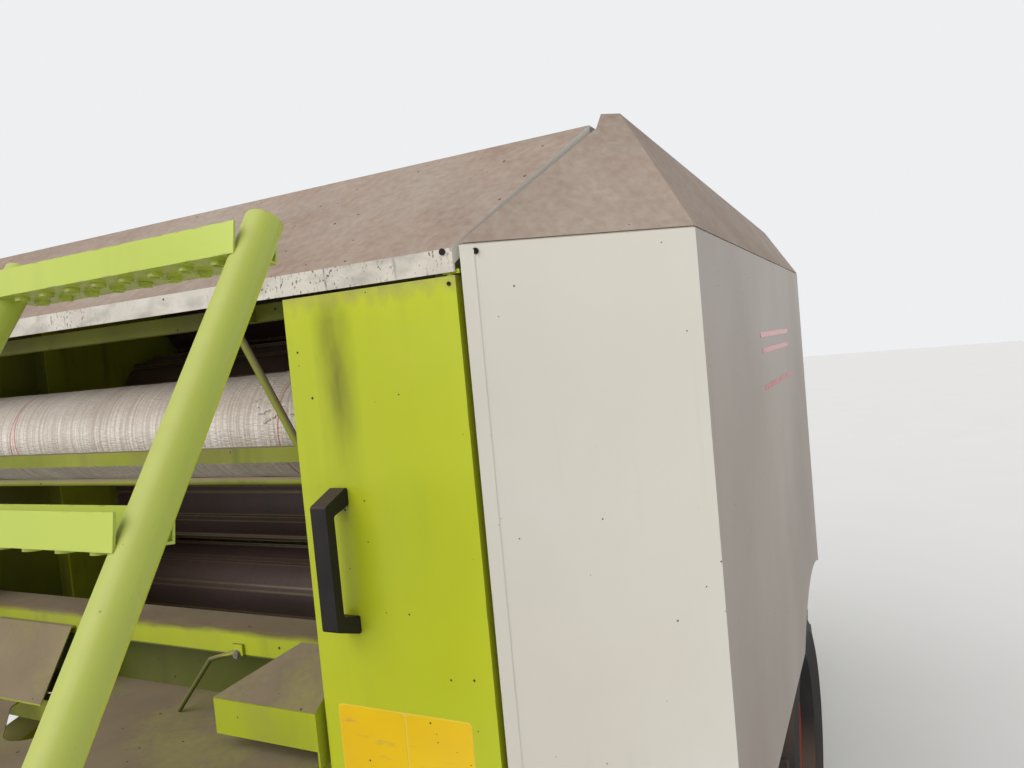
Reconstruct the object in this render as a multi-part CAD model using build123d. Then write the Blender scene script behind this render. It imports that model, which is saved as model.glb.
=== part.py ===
from build123d import *
import os
from math import acos, atan2, cos, hypot, radians, sin, sqrt

# Round baler with a fixed bale chamber, front net wrap and a pick-up, as parked on its jack.
# Millimetres. Z is up from the ground, the drawbar points to -Y, the machine's left is +X.
# While modelling, Y is counted from the bale chamber's middle. save() moves each piece, so
# that the origin lies on the ground under the middle of the machine.

os.makedirs("parts", exist_ok=True)

# Overall reach from the chamber's middle
front_reach = 3560
rear_reach = 948
shift_y = (front_reach - rear_reach) / 2

# Bale chamber and its ring of steel rollers
chamber_width = 1200
chamber_radius = 625
chamber_height = 1380
wall = 6
wall_radius = 900
roller_count_full_ring = 16
roller_tube_radius = 124
rib_height = 8
rib_width = 16
rib_count = 10
roller_shaft_radius = 25
roller_end_gap = 6
shaft_stick_out = 4
running_fit = 0.05
bearing_radius = 58
bearing_depth = 24
shell_thickness = 3
split_y = 145
split_gap = 5
front_roller_steps = (4, 5, 6, 7, 8, 9, 11, 12)
rear_roller_steps = (13, 14, 15, 0, 1, 2, 3)

# Wheels and axle
tyre_radius = 435
tyre_width = 380
rim_radius = 222
wheel_x = 980
axle_y = 60
axle_beam = 90
axle_beam_top = 385
stub_radius = 38
hub_radius = 85

# Drawbar, hitch, jack and drive
arm_rear_y = -860
arm_front_y = -3150
arm_rear_x = 550
arm_front_x = 70
arm_width = 100
arm_height = 120
arm_rear_z = 930
arm_front_z = 620
eye_bore_radius = 20
eye_radius = 52
eye_thickness = 36
jack_y = -2760
jack_tube = 70
jack_leg_side = 58
jack_foot_side = 180
gearbox_y = -1250
gearbox_z = 905
pto_radius = 42
side_shaft_radius = 25
holder_y = -2960

# Front of the body
face_y = -1400
sheet = 3
roof_lip_z = 1872
lip_height = 34
panel_top_z = 1877
lip_half_width = 904
corner_x = 916
ridge_half_width = 1029
ridge_back = 280
ridge_z = 2080
apex_x = 1069
apex_back = 328
apex_z = 2102
side_x = 1209
chamfer_back = 190
cover_length = 1638
facet_rear_x = 1100
facet_rear_z = 2017
cover_bottom_z = 860
cover_seam = 3
cover_swing_radius = 914
flange_depth = 22
deck_inner_x = 812
arch_radius = 548
hood_hinge_y = -700
hood_rear_z = 2080
roof_top_z = 2290
roof_break_y = -150
roof_half_width = 651
door_inner_x = 583
door_outer_x = 906
door_bottom_z = 868
door_top_z = 1833
door_depth = 25
door_hinge_x = 893
door_pin_radius = 6
cover_hinge_x = 1182
cover_hinge_y = 222
cover_pin_radius = 8

# Net box
net_radius = 104
net_length = 1236
net_y = -1212
net_z = 1615
flat_bar_z = 1564
thin_rail_z = 1530
cheek_x = 650
beam_top_z = 1233
beam_height = 54
beam_depth = 70
beam_back = 100
recess_y = face_y + beam_back + beam_depth - 6
bent_rod_radius = 4.5

# Ladder and platform
ladder_pivot_y = -2220
ladder_pivot_z = 1080
ladder_top_y = -1702
ladder_top_z = 1885
ladder_outer_x = 845
ladder_inner_x = 410
ladder_tube_radius = 21.2
platform_z = 1060
slot_x = -170
slot_y = -1420
slot_length = 250
slot_width = 110
slot_turn = -35

# Tailgate
tailgate_pivot_y = 145
tailgate_pivot_z = 2275
pivot_bracket_length = 80
cylinder_base_y = -185
cylinder_base_z = 1125
cylinder_eye_y = 265
cylinder_eye_z = 1855
cylinder_x = 765
barrel_radius = 34
rod_radius = 18
barrel_length = 640
guard_outer_x = 716

# Pick-up and feed rotor
rotor_y = -700
rotor_z = 640
rotor_radius = 225
lobe_margin = 20
rotor_shaft_radius = 40
rotor_housing_radius = 62
reel_y = -1092
reel_z = 330
reel_radius = 245
pickup_width = 2100
gauge_radius = 190
gauge_width = 90
gauge_y = -1010
gauge_z = 240


def box(x0, x1, y0, y1, z0, z1):
    """A block between two corners."""
    middle = ((x0 + x1) / 2, (y0 + y1) / 2, (z0 + z1) / 2)
    return Pos(*middle) * Box(abs(x1 - x0), abs(y1 - y0), abs(z1 - z0))


def plate_x(points, x0, x1):
    """A flat plate across X, with its outline given as (y, z) points."""
    outline = Plane.YZ.offset(x0) * make_face(Polyline(*points, close=True))
    return extrude(outline, x1 - x0)


def plate_z(points, z0, z1):
    """A flat plate lying level, with its outline given as (x, y) points."""
    outline = Plane.XY.offset(z0) * make_face(Polyline(*points, close=True))
    return extrude(outline, z1 - z0)


def rod_x(x0, x1, y, z, radius):
    """A round bar along X."""
    return Pos((x0 + x1) / 2, y, z) * Rot(0, 90, 0) * Cylinder(radius, abs(x1 - x0))


def rod_z(x, y, z0, z1, radius):
    """A round bar along Z."""
    return Pos(x, y, (z0 + z1) / 2) * Cylinder(radius, abs(z1 - z0))


def bar(start, end, radius):
    """A round bar between two points."""
    start, end = Vector(*start), Vector(*end)
    plane = Plane(origin=start, z_dir=end - start)
    return extrude(plane * Circle(radius), (end - start).length)


def strip(points, thickness, x0, x1):
    """A folded sheet across X that follows (y, z) points, with its thickness added upwards."""
    upper = [(y, z + thickness) for y, z in reversed(points)]
    return plate_x(list(points) + upper, x0, x1)


def both(piece):
    """The piece and its mirror image on the machine's other side."""
    return [piece, mirror(piece, about=Plane.YZ)]


def joined(*pieces):
    """All pieces fused into one shape."""
    whole = pieces[0]
    for piece in pieces[1:]:
        whole = whole + piece
    return whole


def save(name, *pieces):
    """Write one node. Its solids are moved from the chamber's middle to the machine's origin."""
    solids = []
    for piece in pieces:
        solids += [Pos(0, shift_y, 0) * solid for solid in piece.solids()]
    export_step(Compound(children=solids) if len(solids) > 1 else solids[0], f"parts/{name}.step")


def save_pair(name, piece):
    """Write the left node and its mirror image as the right node."""
    left, right = both(piece)
    save(f"{name}_left", left)
    save(f"{name}_right", right)


half_width = chamber_width / 2
wall_outer = half_width + wall
ring_radius = chamber_radius + rib_height + roller_tube_radius
ring_step = 360 / roller_count_full_ring


def ring_place(step):
    """The (y, z) of a roller's middle on the ring. Step 0 is level with the middle, at the rear."""
    angle = radians(step * ring_step)
    return ring_radius * cos(angle), chamber_height + ring_radius * sin(angle)


# Chamber rollers: a tube with welded ribs, and a shaft through the bearings at both ends


def roller(step):
    y, z = ring_place(step)
    half = half_width - roller_end_gap
    body = rod_x(-half, half, y, z, roller_tube_radius)
    for number in range(rib_count):
        angle = 360 / rib_count * number
        rib = box(-half, half, -rib_width / 2, rib_width / 2, 0, roller_tube_radius + rib_height)
        body = body + Pos(0, y, z) * Rot(angle, 0, 0) * rib
    end = wall_outer + bearing_depth + shaft_stick_out
    return body + rod_x(-end, end, y, z, roller_shaft_radius)


for number, step in enumerate(front_roller_steps + rear_roller_steps, 1):
    save(f"chamber_roller_{number:02d}", roller(step))


def bearing_housings(steps):
    """Round flanged housings outside the left wall, bored for the roller shafts."""
    return [rod_x(wall_outer, wall_outer + bearing_depth, *ring_place(step), bearing_radius) for step in steps]


def shaft_bores(steps):
    radius = roller_shaft_radius + running_fit
    end = wall_outer + bearing_depth
    return [rod_x(half_width - 1, end + 1, *ring_place(step), radius) for step in steps]


# Roof line over the fixed half: from the hood's rear edge up to the chamber's top
roof_front_y = hood_hinge_y + 18
roof_rear_y = split_y - split_gap
roof_line = [
    (roof_front_y, hood_rear_z + 2),
    (roof_break_y, roof_top_z - sheet),
    (roof_rear_y, roof_top_z - sheet),
]

# Fixed side walls of the chamber, which carry everything else
wall_front_y = -1040
hood_beam = (hood_hinge_y - 45, hood_hinge_y - 5, hood_rear_z - 70, hood_rear_z - 30)


def fixed_wall():
    disc = rod_x(half_width, wall_outer, 0, chamber_height, wall_radius)
    rotor_lobe = rod_x(half_width, wall_outer, rotor_y, rotor_z, rotor_radius + lobe_margin)
    front = plate_x(
        [
            (wall_front_y, 860),
            (wall_front_y, 1900),
            (hood_beam[0] - 15, hood_beam[3]),
            (roof_front_y + 12, hood_beam[3]),
            (roof_front_y + 12, roof_line[0][1] + 4),
            *roof_line[1:],
            (roof_rear_y, chamber_height),
            (rotor_y, rotor_z),
        ],
        half_width,
        wall_outer,
    )
    rear_part = box(half_width - 1, wall_outer + 1, roof_rear_y, 1000, 0, 2400)
    rotor_housing = rod_x(wall_outer, wall_outer + bearing_depth, rotor_y, rotor_z, rotor_housing_radius)
    whole = joined(disc, rotor_lobe, front, rotor_housing, *bearing_housings(front_roller_steps)) - rear_part
    whole = whole - box(half_width - 1, wall_outer + 1, *hood_beam)
    whole = whole - rod_x(half_width - 1, wall_outer + bearing_depth + 1, rotor_y, rotor_z, rotor_shaft_radius + running_fit)
    for bore in shaft_bores(front_roller_steps):
        whole = whole - bore
    return whole


# Axle: a square beam under the chamber with a raised knuckle and stub shaft at each end
axle_z = tyre_radius
axle_bottom = axle_beam_top - axle_beam
knuckle_x = wheel_x - tyre_width / 2 - 40


def axle():
    half = axle_beam / 2
    beam = box(-knuckle_x, knuckle_x, axle_y - half, axle_y + half, axle_bottom, axle_beam_top)
    pieces = [beam]
    stub_end = wheel_x + 60
    knuckle = box(knuckle_x - 40, knuckle_x, axle_y - 70, axle_y + 70, axle_bottom, axle_z + 60)
    stub = rod_x(knuckle_x - 20, stub_end, axle_y, axle_z, stub_radius)
    lowest_bearing = ring_place(12)[1] - bearing_radius
    hanger = box(wall_outer, wall_outer + 40, axle_y - 160, axle_y + 80, axle_beam_top, lowest_bearing - 8)
    for piece in (knuckle, stub, hanger):
        pieces += both(piece)
    return joined(*pieces)


# Drawbar: two box arms that meet at the hitch eye, with cross plates


def arm():
    rear = Plane(origin=(arm_rear_x, arm_rear_y, arm_rear_z), x_dir=(1, 0, 0), z_dir=(0, -1, 0))
    front = Plane(origin=(arm_front_x, arm_front_y, arm_front_z), x_dir=(1, 0, 0), z_dir=(0, -1, 0))
    section = Rectangle(arm_width, arm_height)
    return loft([rear * section, front * section])


def arm_at(y):
    """The (x, z) of the left arm's middle at a place along it."""
    share = (y - arm_rear_y) / (arm_front_y - arm_rear_y)
    x = arm_rear_x + share * (arm_front_x - arm_rear_x)
    return x, arm_rear_z + share * (arm_front_z - arm_rear_z)


def drawbar():
    tip_rear = arm_front_y + 60
    tip_front = -front_reach + 2 * eye_radius
    nose_half = arm_front_x + arm_width / 2
    nose = box(-nose_half, nose_half, tip_front, tip_rear, arm_front_z - 60, arm_front_z + 60)
    eye_y = -front_reach + eye_radius
    eye = rod_z(0, eye_y, arm_front_z - eye_thickness / 2, arm_front_z + eye_thickness / 2, eye_radius)
    shank = box(-34, 34, eye_y, tip_front + 1, arm_front_z - eye_thickness / 2, arm_front_z + eye_thickness / 2)
    bore = rod_z(0, eye_y, arm_front_z - 60, arm_front_z + 60, eye_bore_radius)
    gearbox_x = arm_at(gearbox_y)[0]
    gear_deck = box(-gearbox_x, gearbox_x, gearbox_y - 150, gearbox_y + 150, gearbox_bottom - 20, gearbox_bottom)
    middle_x, middle_z = arm_at(-2050)
    brace = box(-middle_x, middle_x, -2090, -2010, middle_z - 40, middle_z + 40)
    shaft_hole = rod_x(-700, 700, gearbox_y, gearbox_z, side_shaft_radius + 6)
    post = box(-15, 15, holder_y + 170, holder_y + 200, arm_at(holder_y + 185)[1] - 20, arm_front_z + 200)
    cross_x, cross_z = arm_at(holder_y + 185)
    cross = box(-cross_x, cross_x, holder_y + 160, holder_y + 210, cross_z - 20, cross_z + 20)
    whole = joined(*both(arm()), nose, shank, eye, gear_deck, brace, post, cross)
    return whole - bore - shaft_hole - drive_shaft()


# Gearbox on the drawbar, its shaft to the left side, and the parked drive shaft
gearbox_bottom = gearbox_z - 100


def gearbox():
    half = 120
    block = box(-half, half, gearbox_y - 130, gearbox_y + 130, gearbox_bottom, gearbox_z + 95)
    block = fillet(block.edges().filter_by(Axis.Z), 30)
    snout = Pos(0, gearbox_y - 150, gearbox_z) * Rot(90, 0, 0) * Cylinder(62, 50)
    side_shaft = rod_x(half - 10, wall_outer + 60, gearbox_y, gearbox_z, side_shaft_radius)
    side_sprocket = rod_x(wall_outer + 24, wall_outer + 40, gearbox_y, gearbox_z, 52)
    return joined(block, snout, side_shaft, side_sprocket)


def drive_shaft():
    start_y = gearbox_y - 175
    nose_top = arm_front_z + arm_height / 2
    end_z = nose_top + 150
    start = (0, start_y, gearbox_z)
    end = (0, holder_y, end_z)
    tube = bar(start, end, pto_radius)
    slope = atan2(gearbox_z - end_z, start_y - holder_y)
    length = hypot(gearbox_z - end_z, start_y - holder_y)
    bells = []
    for at, radii in ((0.0, (70, 48)), (1.0, (48, 70))):
        run = 130
        along = at * (length - run)
        y = start_y - along * cos(slope)
        z = gearbox_z - along * sin(slope)
        plane = Plane(origin=(0, y, z), x_dir=(1, 0, 0), z_dir=(0, -cos(slope), -sin(slope)))
        bells.append(plane.location * Pos(0, 0, run / 2) * Cone(radii[0], radii[1], run))
    return joined(tube, *bells) - gearbox()


# Jack: a square sleeve welded beside the left arm, and a leg that slides in it
jack_clear = 0.4
jack_x = arm_at(jack_y)[0] + (arm_width + jack_tube) / 2 + 10
jack_top = 960
jack_bottom = 470


def jack_sleeve():
    half = jack_tube / 2
    bore = jack_leg_side / 2 + jack_clear
    tube = box(jack_x - half, jack_x + half, jack_y - half, jack_y + half, jack_bottom, jack_top)
    tube = tube - box(jack_x - bore, jack_x + bore, jack_y - bore, jack_y + bore, 0, jack_top - 10)
    crank = bar((jack_x, jack_y, jack_top - 2), (jack_x, jack_y, jack_top + 36), 12)
    handle = bar((jack_x, jack_y, jack_top + 22), (jack_x, jack_y - 140, jack_top + 22), 8)
    grip = bar((jack_x, jack_y - 132, jack_top + 6), (jack_x, jack_y - 132, jack_top + 110), 12)
    arm_x, arm_z = arm_at(jack_y)
    weld_plate = box(arm_x, jack_x - half, jack_y - 30, jack_y + 30, arm_z - 45, arm_z + 45) - arm()
    return joined(tube, crank, handle, grip, weld_plate)


def jack_leg():
    half = jack_leg_side / 2
    foot = jack_foot_side / 2
    leg = box(jack_x - half, jack_x + half, jack_y - half, jack_y + half, 10, jack_top - 220)
    plate = box(jack_x - foot, jack_x + foot, jack_y - foot, jack_y + foot, 0, 10)
    return leg + plate


# Wheels: a dished rim on a hub, and a low-profile tyre with block lugs
tread_depth = 14
lug_count = 22


def tyre_profile():
    """Half section of the tyre as (x from the wheel's middle, radius), bead to shoulder."""
    half = tyre_width / 2
    base = tyre_radius - tread_depth
    return [
        (-half * 0.62, rim_radius),
        (-half * 0.90, rim_radius + 40),
        (-half, rim_radius + 105),
        (-half * 0.96, base - 55),
        (-half * 0.80, base - 12),
        (-half * 0.50, base),
        (half * 0.50, base),
        (half * 0.80, base - 12),
        (half * 0.96, base - 55),
        (half, rim_radius + 105),
        (half * 0.90, rim_radius + 40),
        (half * 0.62, rim_radius),
    ]


def tyre():
    points = [(x, radius) for x, radius in tyre_profile()]
    section = Plane.XY * make_face(Polyline(*points, close=True))
    body = revolve(section, Axis.X, 360)
    half = tyre_width / 2
    step = 360 / lug_count
    for number in range(lug_count):
        for side in (-1, 1):
            outline = [
                (side * half * 0.10, -26),
                (side * half * 0.90, -2),
                (side * half * 0.90, 34),
                (side * half * 0.10, 10),
            ]
            block = plate_z(outline, tyre_radius - tread_depth - 24, tyre_radius - 1.5)
            turn = step * (number + (0.5 if side > 0 else 0))
            body = body + Rot(turn, 0, 0) * block
    return Pos(wheel_x, axle_y, axle_z) * body


def rim():
    half = tyre_width / 2 * 0.62
    lip = rim_radius
    outer = [
        (-half - 14, lip + 9),
        (-half - 14, lip - 8),
        (-half * 0.5, lip - 12),
        (-half * 0.3, lip - 40),
        (half * 0.1, lip - 40),
        (half * 0.3, 120),
        (half * 0.3, stub_radius + running_fit),
        (half * 0.3 + 12, stub_radius + running_fit),
        (half * 0.3 + 12, 124),
        (half * 0.1 + 12, lip - 28),
        (half * 0.5, lip - 12),
        (half + 14, lip - 8),
        (half + 14, lip + 9),
        (half, lip),
        (-half, lip),
    ]
    section = Plane.XY * make_face(Polyline(*outer, close=True))
    dish = revolve(section, Axis.X, 360)
    hub = rod_x(-45, 75, 0, 0, hub_radius) - rod_x(-46, 64, 0, 0, stub_radius + running_fit)
    nuts = [Rot(60 * number, 0, 0) * (Pos(0, 0, 100) * rod_x(half * 0.3 + 10, half * 0.3 + 30, 0, 0, 12)) for number in range(6)]
    return Pos(wheel_x, axle_y, axle_z) * joined(dish, hub, *nuts)


# Net box: cheeks, front beam, cross rails and the frame that the doors close against


def front_beam():
    """The cross beam under the net roll. Its ends carry the doors' posts, its face a bent rod."""
    y0 = face_y + beam_back
    beam = box(-cheek_x, cheek_x, y0, y0 + beam_depth, beam_top_z - beam_height, beam_top_z)
    recess = box(-cheek_x, cheek_x, recess_y, y0 + beam_depth, beam_top_z - 190, beam_top_z - beam_height)
    bend = (236, y0 - 22, beam_top_z - 58)
    upper = bar((292, y0 - 4, beam_top_z - 44), bend, bent_rod_radius)
    lower = bar(bend, (140, y0 - 28, platform_z + 4), bent_rod_radius)
    elbow = Pos(*bend) * Sphere(bent_rod_radius)
    foot = box(280, 306, y0 - 6, y0, beam_top_z - 52, beam_top_z - 30)
    return joined(beam, recess, upper, elbow, lower, foot)


def net_box():
    y0 = face_y + 34
    cheek = plate_x(
        [
            (y0, 1000),
            (y0, roof_lip_z - 46),
            (y0 + 60, roof_lip_z - 16),
            (wall_front_y + sheet, ridge_z - 70),
            (wall_front_y + sheet, 1000),
        ],
        cheek_x,
        cheek_x + sheet,
    )
    step = box(wall_outer, cheek_x, wall_front_y, wall_front_y + sheet, 1000, 1890)
    top_rail = box(-cheek_x, cheek_x, y0 + 60, y0 + 90, roof_lip_z - 60, roof_lip_z - 30)
    holder = box(cheek_x - 22, cheek_x, net_y - 30, net_y + 30, net_z - 60, net_z + 24)
    holder = holder - rod_x(cheek_x - 23, cheek_x + 1, net_y, net_z, 16 + running_fit)
    pieces = [*both(cheek + step), top_rail, *both(holder), *net_rails()]
    return joined(*pieces)


def net_rails():
    """A flat bar and a round rail across the front of the net roll, and their slanted rod."""
    y = face_y + 36
    flat = box(-cheek_x, cheek_x, y, y + 22, flat_bar_z, flat_bar_z + 26)
    low = rod_x(-cheek_x, cheek_x, y + 12, thin_rail_z, 7)
    slant = bar((416, y + 11, roof_lip_z - 50), (546, y + 11, flat_bar_z + 20), 7)
    tab = box(400, 432, y + 4, face_y + 34 + 60, roof_lip_z - 60, roof_lip_z - 40)
    return flat, low, slant, tab


def net_roll():
    core = rod_x(-net_length / 2, net_length / 2, net_y, net_z, net_radius)
    axle_end = net_length / 2 + 22
    return core + rod_x(-axle_end, axle_end, net_y, net_z, 16)


# Frame at each side of the net box: posts, a tray and the hinge pins of the door and side cover
post_x = door_outer_x + 14
post_side = 36
hinge_post_x = 1120
sill_z = 816
arm_y = 90


def side_frame():
    y0 = face_y + 40
    front_post = box(post_x, post_x + post_side, y0, y0 + post_side, sill_z + 30, 1840)
    sill = box(wall_outer, hinge_post_x + 40, y0, y0 + post_side, sill_z, sill_z + 30)
    rear_sill = box(hinge_post_x, hinge_post_x + 40, y0 + post_side, -420, sill_z, sill_z + 30)
    inner = box(wall_outer, wall_outer + 40, y0 + post_side, wall_front_y, sill_z, sill_z + 30)
    inner_post = box(cheek_x + sheet, cheek_x + sheet + 34, y0, y0 + post_side, sill_z + 30, 1800)
    ears = []
    for z0, pin0, pin1 in ((door_bottom_z - 14, door_bottom_z - 8, door_bottom_z + 12), (door_top_z + 3, door_top_z - 12, door_top_z + 5)):
        ears.append(box(door_hinge_x - 10, door_outer_x + 4, face_y + 6, y0 + 4, z0, z0 + 6))
        ears.append(box(door_hinge_x - 10, post_x + 4, y0 - 10, y0 + 4, z0, z0 + 6))
        ears.append(rod_z(door_hinge_x, face_y + 12, pin0, pin1, door_pin_radius))
    top_tie = box(cheek_x + sheet, post_x + post_side, y0 + post_side - 6, y0 + post_side, 1770, 1800)
    return joined(front_post, sill, rear_sill, inner, inner_post, top_tie, *ears)


def hinge_frame():
    """Arms from the wall to the post at the side cover's rear edge, with the hinge pins."""
    low = box(wall_outer, hinge_post_x + 40, arm_y, arm_y + 40, 985, 1025)
    high = box(wall_outer, hinge_post_x + 40, arm_y, arm_y + 40, 1870, 1910)
    post = box(hinge_post_x, hinge_post_x + 40, arm_y + 40, arm_y + 110, 985, 1910)
    pins = []
    for z in hinge_levels:
        pins.append(box(hinge_post_x + 20, cover_hinge_x + 10, cover_hinge_y - 26, cover_hinge_y + 10, z - 8, z))
        pins.append(rod_z(cover_hinge_x, cover_hinge_y, z - 8, z + 44, cover_pin_radius))
    return joined(low, high, post, *pins)


hinge_levels = (1040, 1400, 1800)


# Roof over the fixed half, with the hood's hinge beam and a strip beside each cover
strip_z = 1995
strip_x = 790
skirt_rear_y = split_y - 60


def roof_deck():
    middle = strip(roof_line, sheet, -roof_half_width, roof_half_width)
    beam = box(-ridge_half_width + 60, ridge_half_width - 60, *hood_beam)
    skirt_x = roof_half_width - 9
    skirt_top = [roof_line[0], roof_line[1], (skirt_rear_y, roof_line[2][1])]
    skirt = plate_x([(roof_front_y, strip_z), *skirt_top, (skirt_rear_y, strip_z)], skirt_x, roof_half_width)
    ledge = box(skirt_x, strip_x, roof_front_y, skirt_rear_y, strip_z, strip_z + sheet)
    bracket = box(skirt_x, roof_half_width, hood_beam[1], roof_front_y, strip_z, hood_beam[3])
    corner_z = hood_rear_z - 12
    corner_plate = box(skirt_x, ridge_half_width - 20, roof_front_y, roof_front_y + 80, corner_z, corner_z + sheet)
    swing = rod_z(cover_hinge_x, cover_hinge_y, corner_z - 1, corner_z + sheet + 1, cover_swing_radius + 6)
    corner_plate = corner_plate - swing
    knuckles = [rod_x(x - 30, x + 30, hood_hinge_y, hood_hinge_z, 8) for x in hood_knuckles]
    ears = [box(x - 30, x - 22, hood_beam[0] + 5, hood_hinge_y + 8, hood_beam[3] - 5, hood_hinge_z) for x in hood_knuckles]
    whole = joined(middle, beam, *both(skirt), *both(ledge), *both(bracket), *both(corner_plate), *knuckles, *ears)
    notch_y = tailgate_pivot_y - pivot_bracket_length - 1
    for notch in both(box(wall_outer, roof_half_width + 1, notch_y, roof_rear_y + 1, 2200, 2300)):
        whole = whole - notch
    return whole


hood_hinge_z = hood_rear_z - 14
hood_knuckles = (-700, 0, 700)


# Hood over the net box: a folded sheet with its lip, slope and deck, and side flanges
groove = corner_x - lip_half_width


def hood():
    ridge_y = face_y + ridge_back
    rear_y = hood_hinge_y
    fold = [
        (face_y, roof_lip_z - lip_height),
        (face_y, roof_lip_z),
        (ridge_y, ridge_z),
        (rear_y, hood_rear_z),
        (rear_y, hood_rear_z - sheet),
        (ridge_y + 2, ridge_z - sheet),
        (face_y + sheet, roof_lip_z - sheet),
        (face_y + sheet, roof_lip_z - lip_height),
    ]
    skin = plate_x(fold, -ridge_half_width, ridge_half_width)
    rim_fold = [
        (face_y, roof_lip_z - lip_height),
        (face_y, roof_lip_z),
        (ridge_y, ridge_z),
        (rear_y, hood_rear_z),
        (rear_y, hood_rear_z - 20),
        (ridge_y + 6, ridge_z - 20),
        (face_y + 16, roof_lip_z - 10),
        (face_y + sheet, roof_lip_z - 22),
        (face_y + sheet, roof_lip_z - lip_height),
    ]
    full = plate_x(rim_fold, -ridge_half_width, ridge_half_width)
    plan = plate_z(plan_points(0), 1500, 2300)
    inner_plan = plate_z(plan_points(sheet), 1500, 2300)
    sides = full & (plan - inner_plan)
    whole = (skin & plan) + sides
    eyes = []
    for x in hood_knuckles:
        eyes.append(rod_x(x - 20, x + 28, hood_hinge_y, hood_hinge_z, 14))
        eyes.append(box(x - 20, x + 28, hood_hinge_y - 14, hood_hinge_y, hood_hinge_z, hood_rear_z - sheet))
    for eye in eyes:
        whole = whole + eye
    for x in hood_knuckles:
        whole = whole - rod_x(x - 40, x + 40, hood_hinge_y, hood_hinge_z, 8 + running_fit)
    return whole


def plan_points(inset):
    ridge_y = face_y + ridge_back
    rear_y = hood_hinge_y + 20
    front = lip_half_width - inset
    wide = ridge_half_width - inset
    return [
        (-front, face_y - 1),
        (front, face_y - 1),
        (wide, ridge_y),
        (wide, rear_y),
        (-wide, rear_y),
        (-wide, ridge_y),
    ]


# Side cover: one shell of side panel, chamfered corner panel, two roof facets and deck


def cover_block(inset):
    """The cover's full form, with each outer plane moved inwards by the inset."""
    rear_y = face_y + cover_length
    corner = (corner_x, face_y, panel_top_z)
    hip = (side_x, face_y + chamfer_back, panel_top_z)
    apex = (apex_x, face_y + apex_back, apex_z)
    rear_low = (side_x, rear_y, panel_top_z)
    rear_high = (facet_rear_x, rear_y, facet_rear_z)
    block = box(deck_inner_x - 200, side_x - inset, face_y + inset, rear_y + 1, 700, 2300)
    planes = [
        [(corner_x, face_y, 700), hip[:2] + (700,), hip],
        [corner, hip, apex],
        [hip, rear_low, apex],
        [apex, rear_high, (0, rear_y, facet_rear_z)],
    ]
    for points in planes:
        a, b, c = (Vector(*point) for point in points)
        normal = (b - a).cross(c - a).normalized()
        plane = Plane(origin=a - normal * inset, z_dir=normal)
        block = split(block, bisect_by=plane, keep=Keep.BOTTOM)
    return block


def cover_plan(z0, z1):
    """The cover's outline seen from above, with a groove left beside the hood."""
    rear_y = face_y + cover_length
    return plate_z(
        [
            (corner_x, face_y - 1),
            (side_x + 1, face_y - 1),
            (side_x + 1, rear_y),
            (deck_inner_x, rear_y),
            (deck_inner_x, roof_front_y),
            (ridge_half_width + groove, roof_front_y),
            (ridge_half_width + groove, face_y + ridge_back),
        ],
        z0,
        z1,
    )


def side_cover():
    """The upright panels: side, chamfered corner and the narrow fold beside the door."""
    shell = cover_block(0) - cover_block(sheet)
    shell = shell & cover_plan(cover_bottom_z, panel_top_z - cover_seam)
    edge_fold = box(corner_x, corner_x + 14, face_y + sheet, face_y + 22, cover_bottom_z, panel_top_z - 30)
    shell = shell + (edge_fold & cover_block(0))
    shell = shell - rod_x(side_x - 60, side_x + 10, axle_y, axle_z, arch_radius)
    for z in hinge_levels:
        knuckle = rod_z(cover_hinge_x, cover_hinge_y, z + 1, z + 40, 14)
        strap = box(cover_hinge_x, side_x - sheet, cover_hinge_y - 12, cover_hinge_y + 14, z + 1, z + 40)
        shell = shell + knuckle + strap
        shell = shell - rod_z(cover_hinge_x, cover_hinge_y, z, z + 46, cover_pin_radius + running_fit)
    return shell


def cover_roof():
    """The roof facets and deck over the side panels, on a flange inside their top edge."""
    upper = (cover_block(0) - cover_block(sheet)) & cover_plan(panel_top_z, roof_top_z)
    swing = rod_z(cover_hinge_x, cover_hinge_y, panel_top_z, roof_top_z, cover_swing_radius)
    inner_corner = box(deck_inner_x - 1, ridge_half_width + groove, roof_front_y - 1, roof_front_y + 90, 1990, 2200)
    upper = upper - (inner_corner - swing)
    flange = cover_block(sheet) - cover_block(2 * sheet)
    flange = flange & cover_plan(panel_top_z - flange_depth, panel_top_z + 2 * sheet)
    return upper + flange


# Front doors: folded steel pans with a black bow handle near the inner edge


def front_door():
    outer = box(door_inner_x, door_outer_x, face_y, face_y + door_depth, door_bottom_z, door_top_z)
    hollow = box(
        door_inner_x + 2,
        door_outer_x - 2,
        face_y + 2,
        face_y + door_depth + 1,
        door_bottom_z + 4,
        door_top_z - 4,
    )
    pan = outer - hollow
    return pan - rod_z(door_hinge_x, face_y + 12, door_bottom_z - 1, door_top_z + 1, door_pin_radius + running_fit)


handle_x = 660
handle_stand = 56
handle_low = 1292
handle_high = 1530


def door_handle():
    """A moulded bow with two feet on the door's skin."""
    stand = handle_stand
    path = [
        (face_y, handle_low),
        (face_y - stand, handle_low + 22),
        (face_y - stand, handle_high - 22),
        (face_y, handle_high),
        (face_y, handle_high - 30),
        (face_y - stand + 18, handle_high - 40),
        (face_y - stand + 18, handle_low + 40),
        (face_y, handle_low + 30),
    ]
    bow = plate_x(path, handle_x - 15, handle_x + 15)
    return fillet(bow.edges().filter_by(Axis.X), 5)


# Platform, its rails and the ladder's bearing block


door_swing_y = face_y - (door_hinge_x - door_inner_x) - 25


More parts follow.
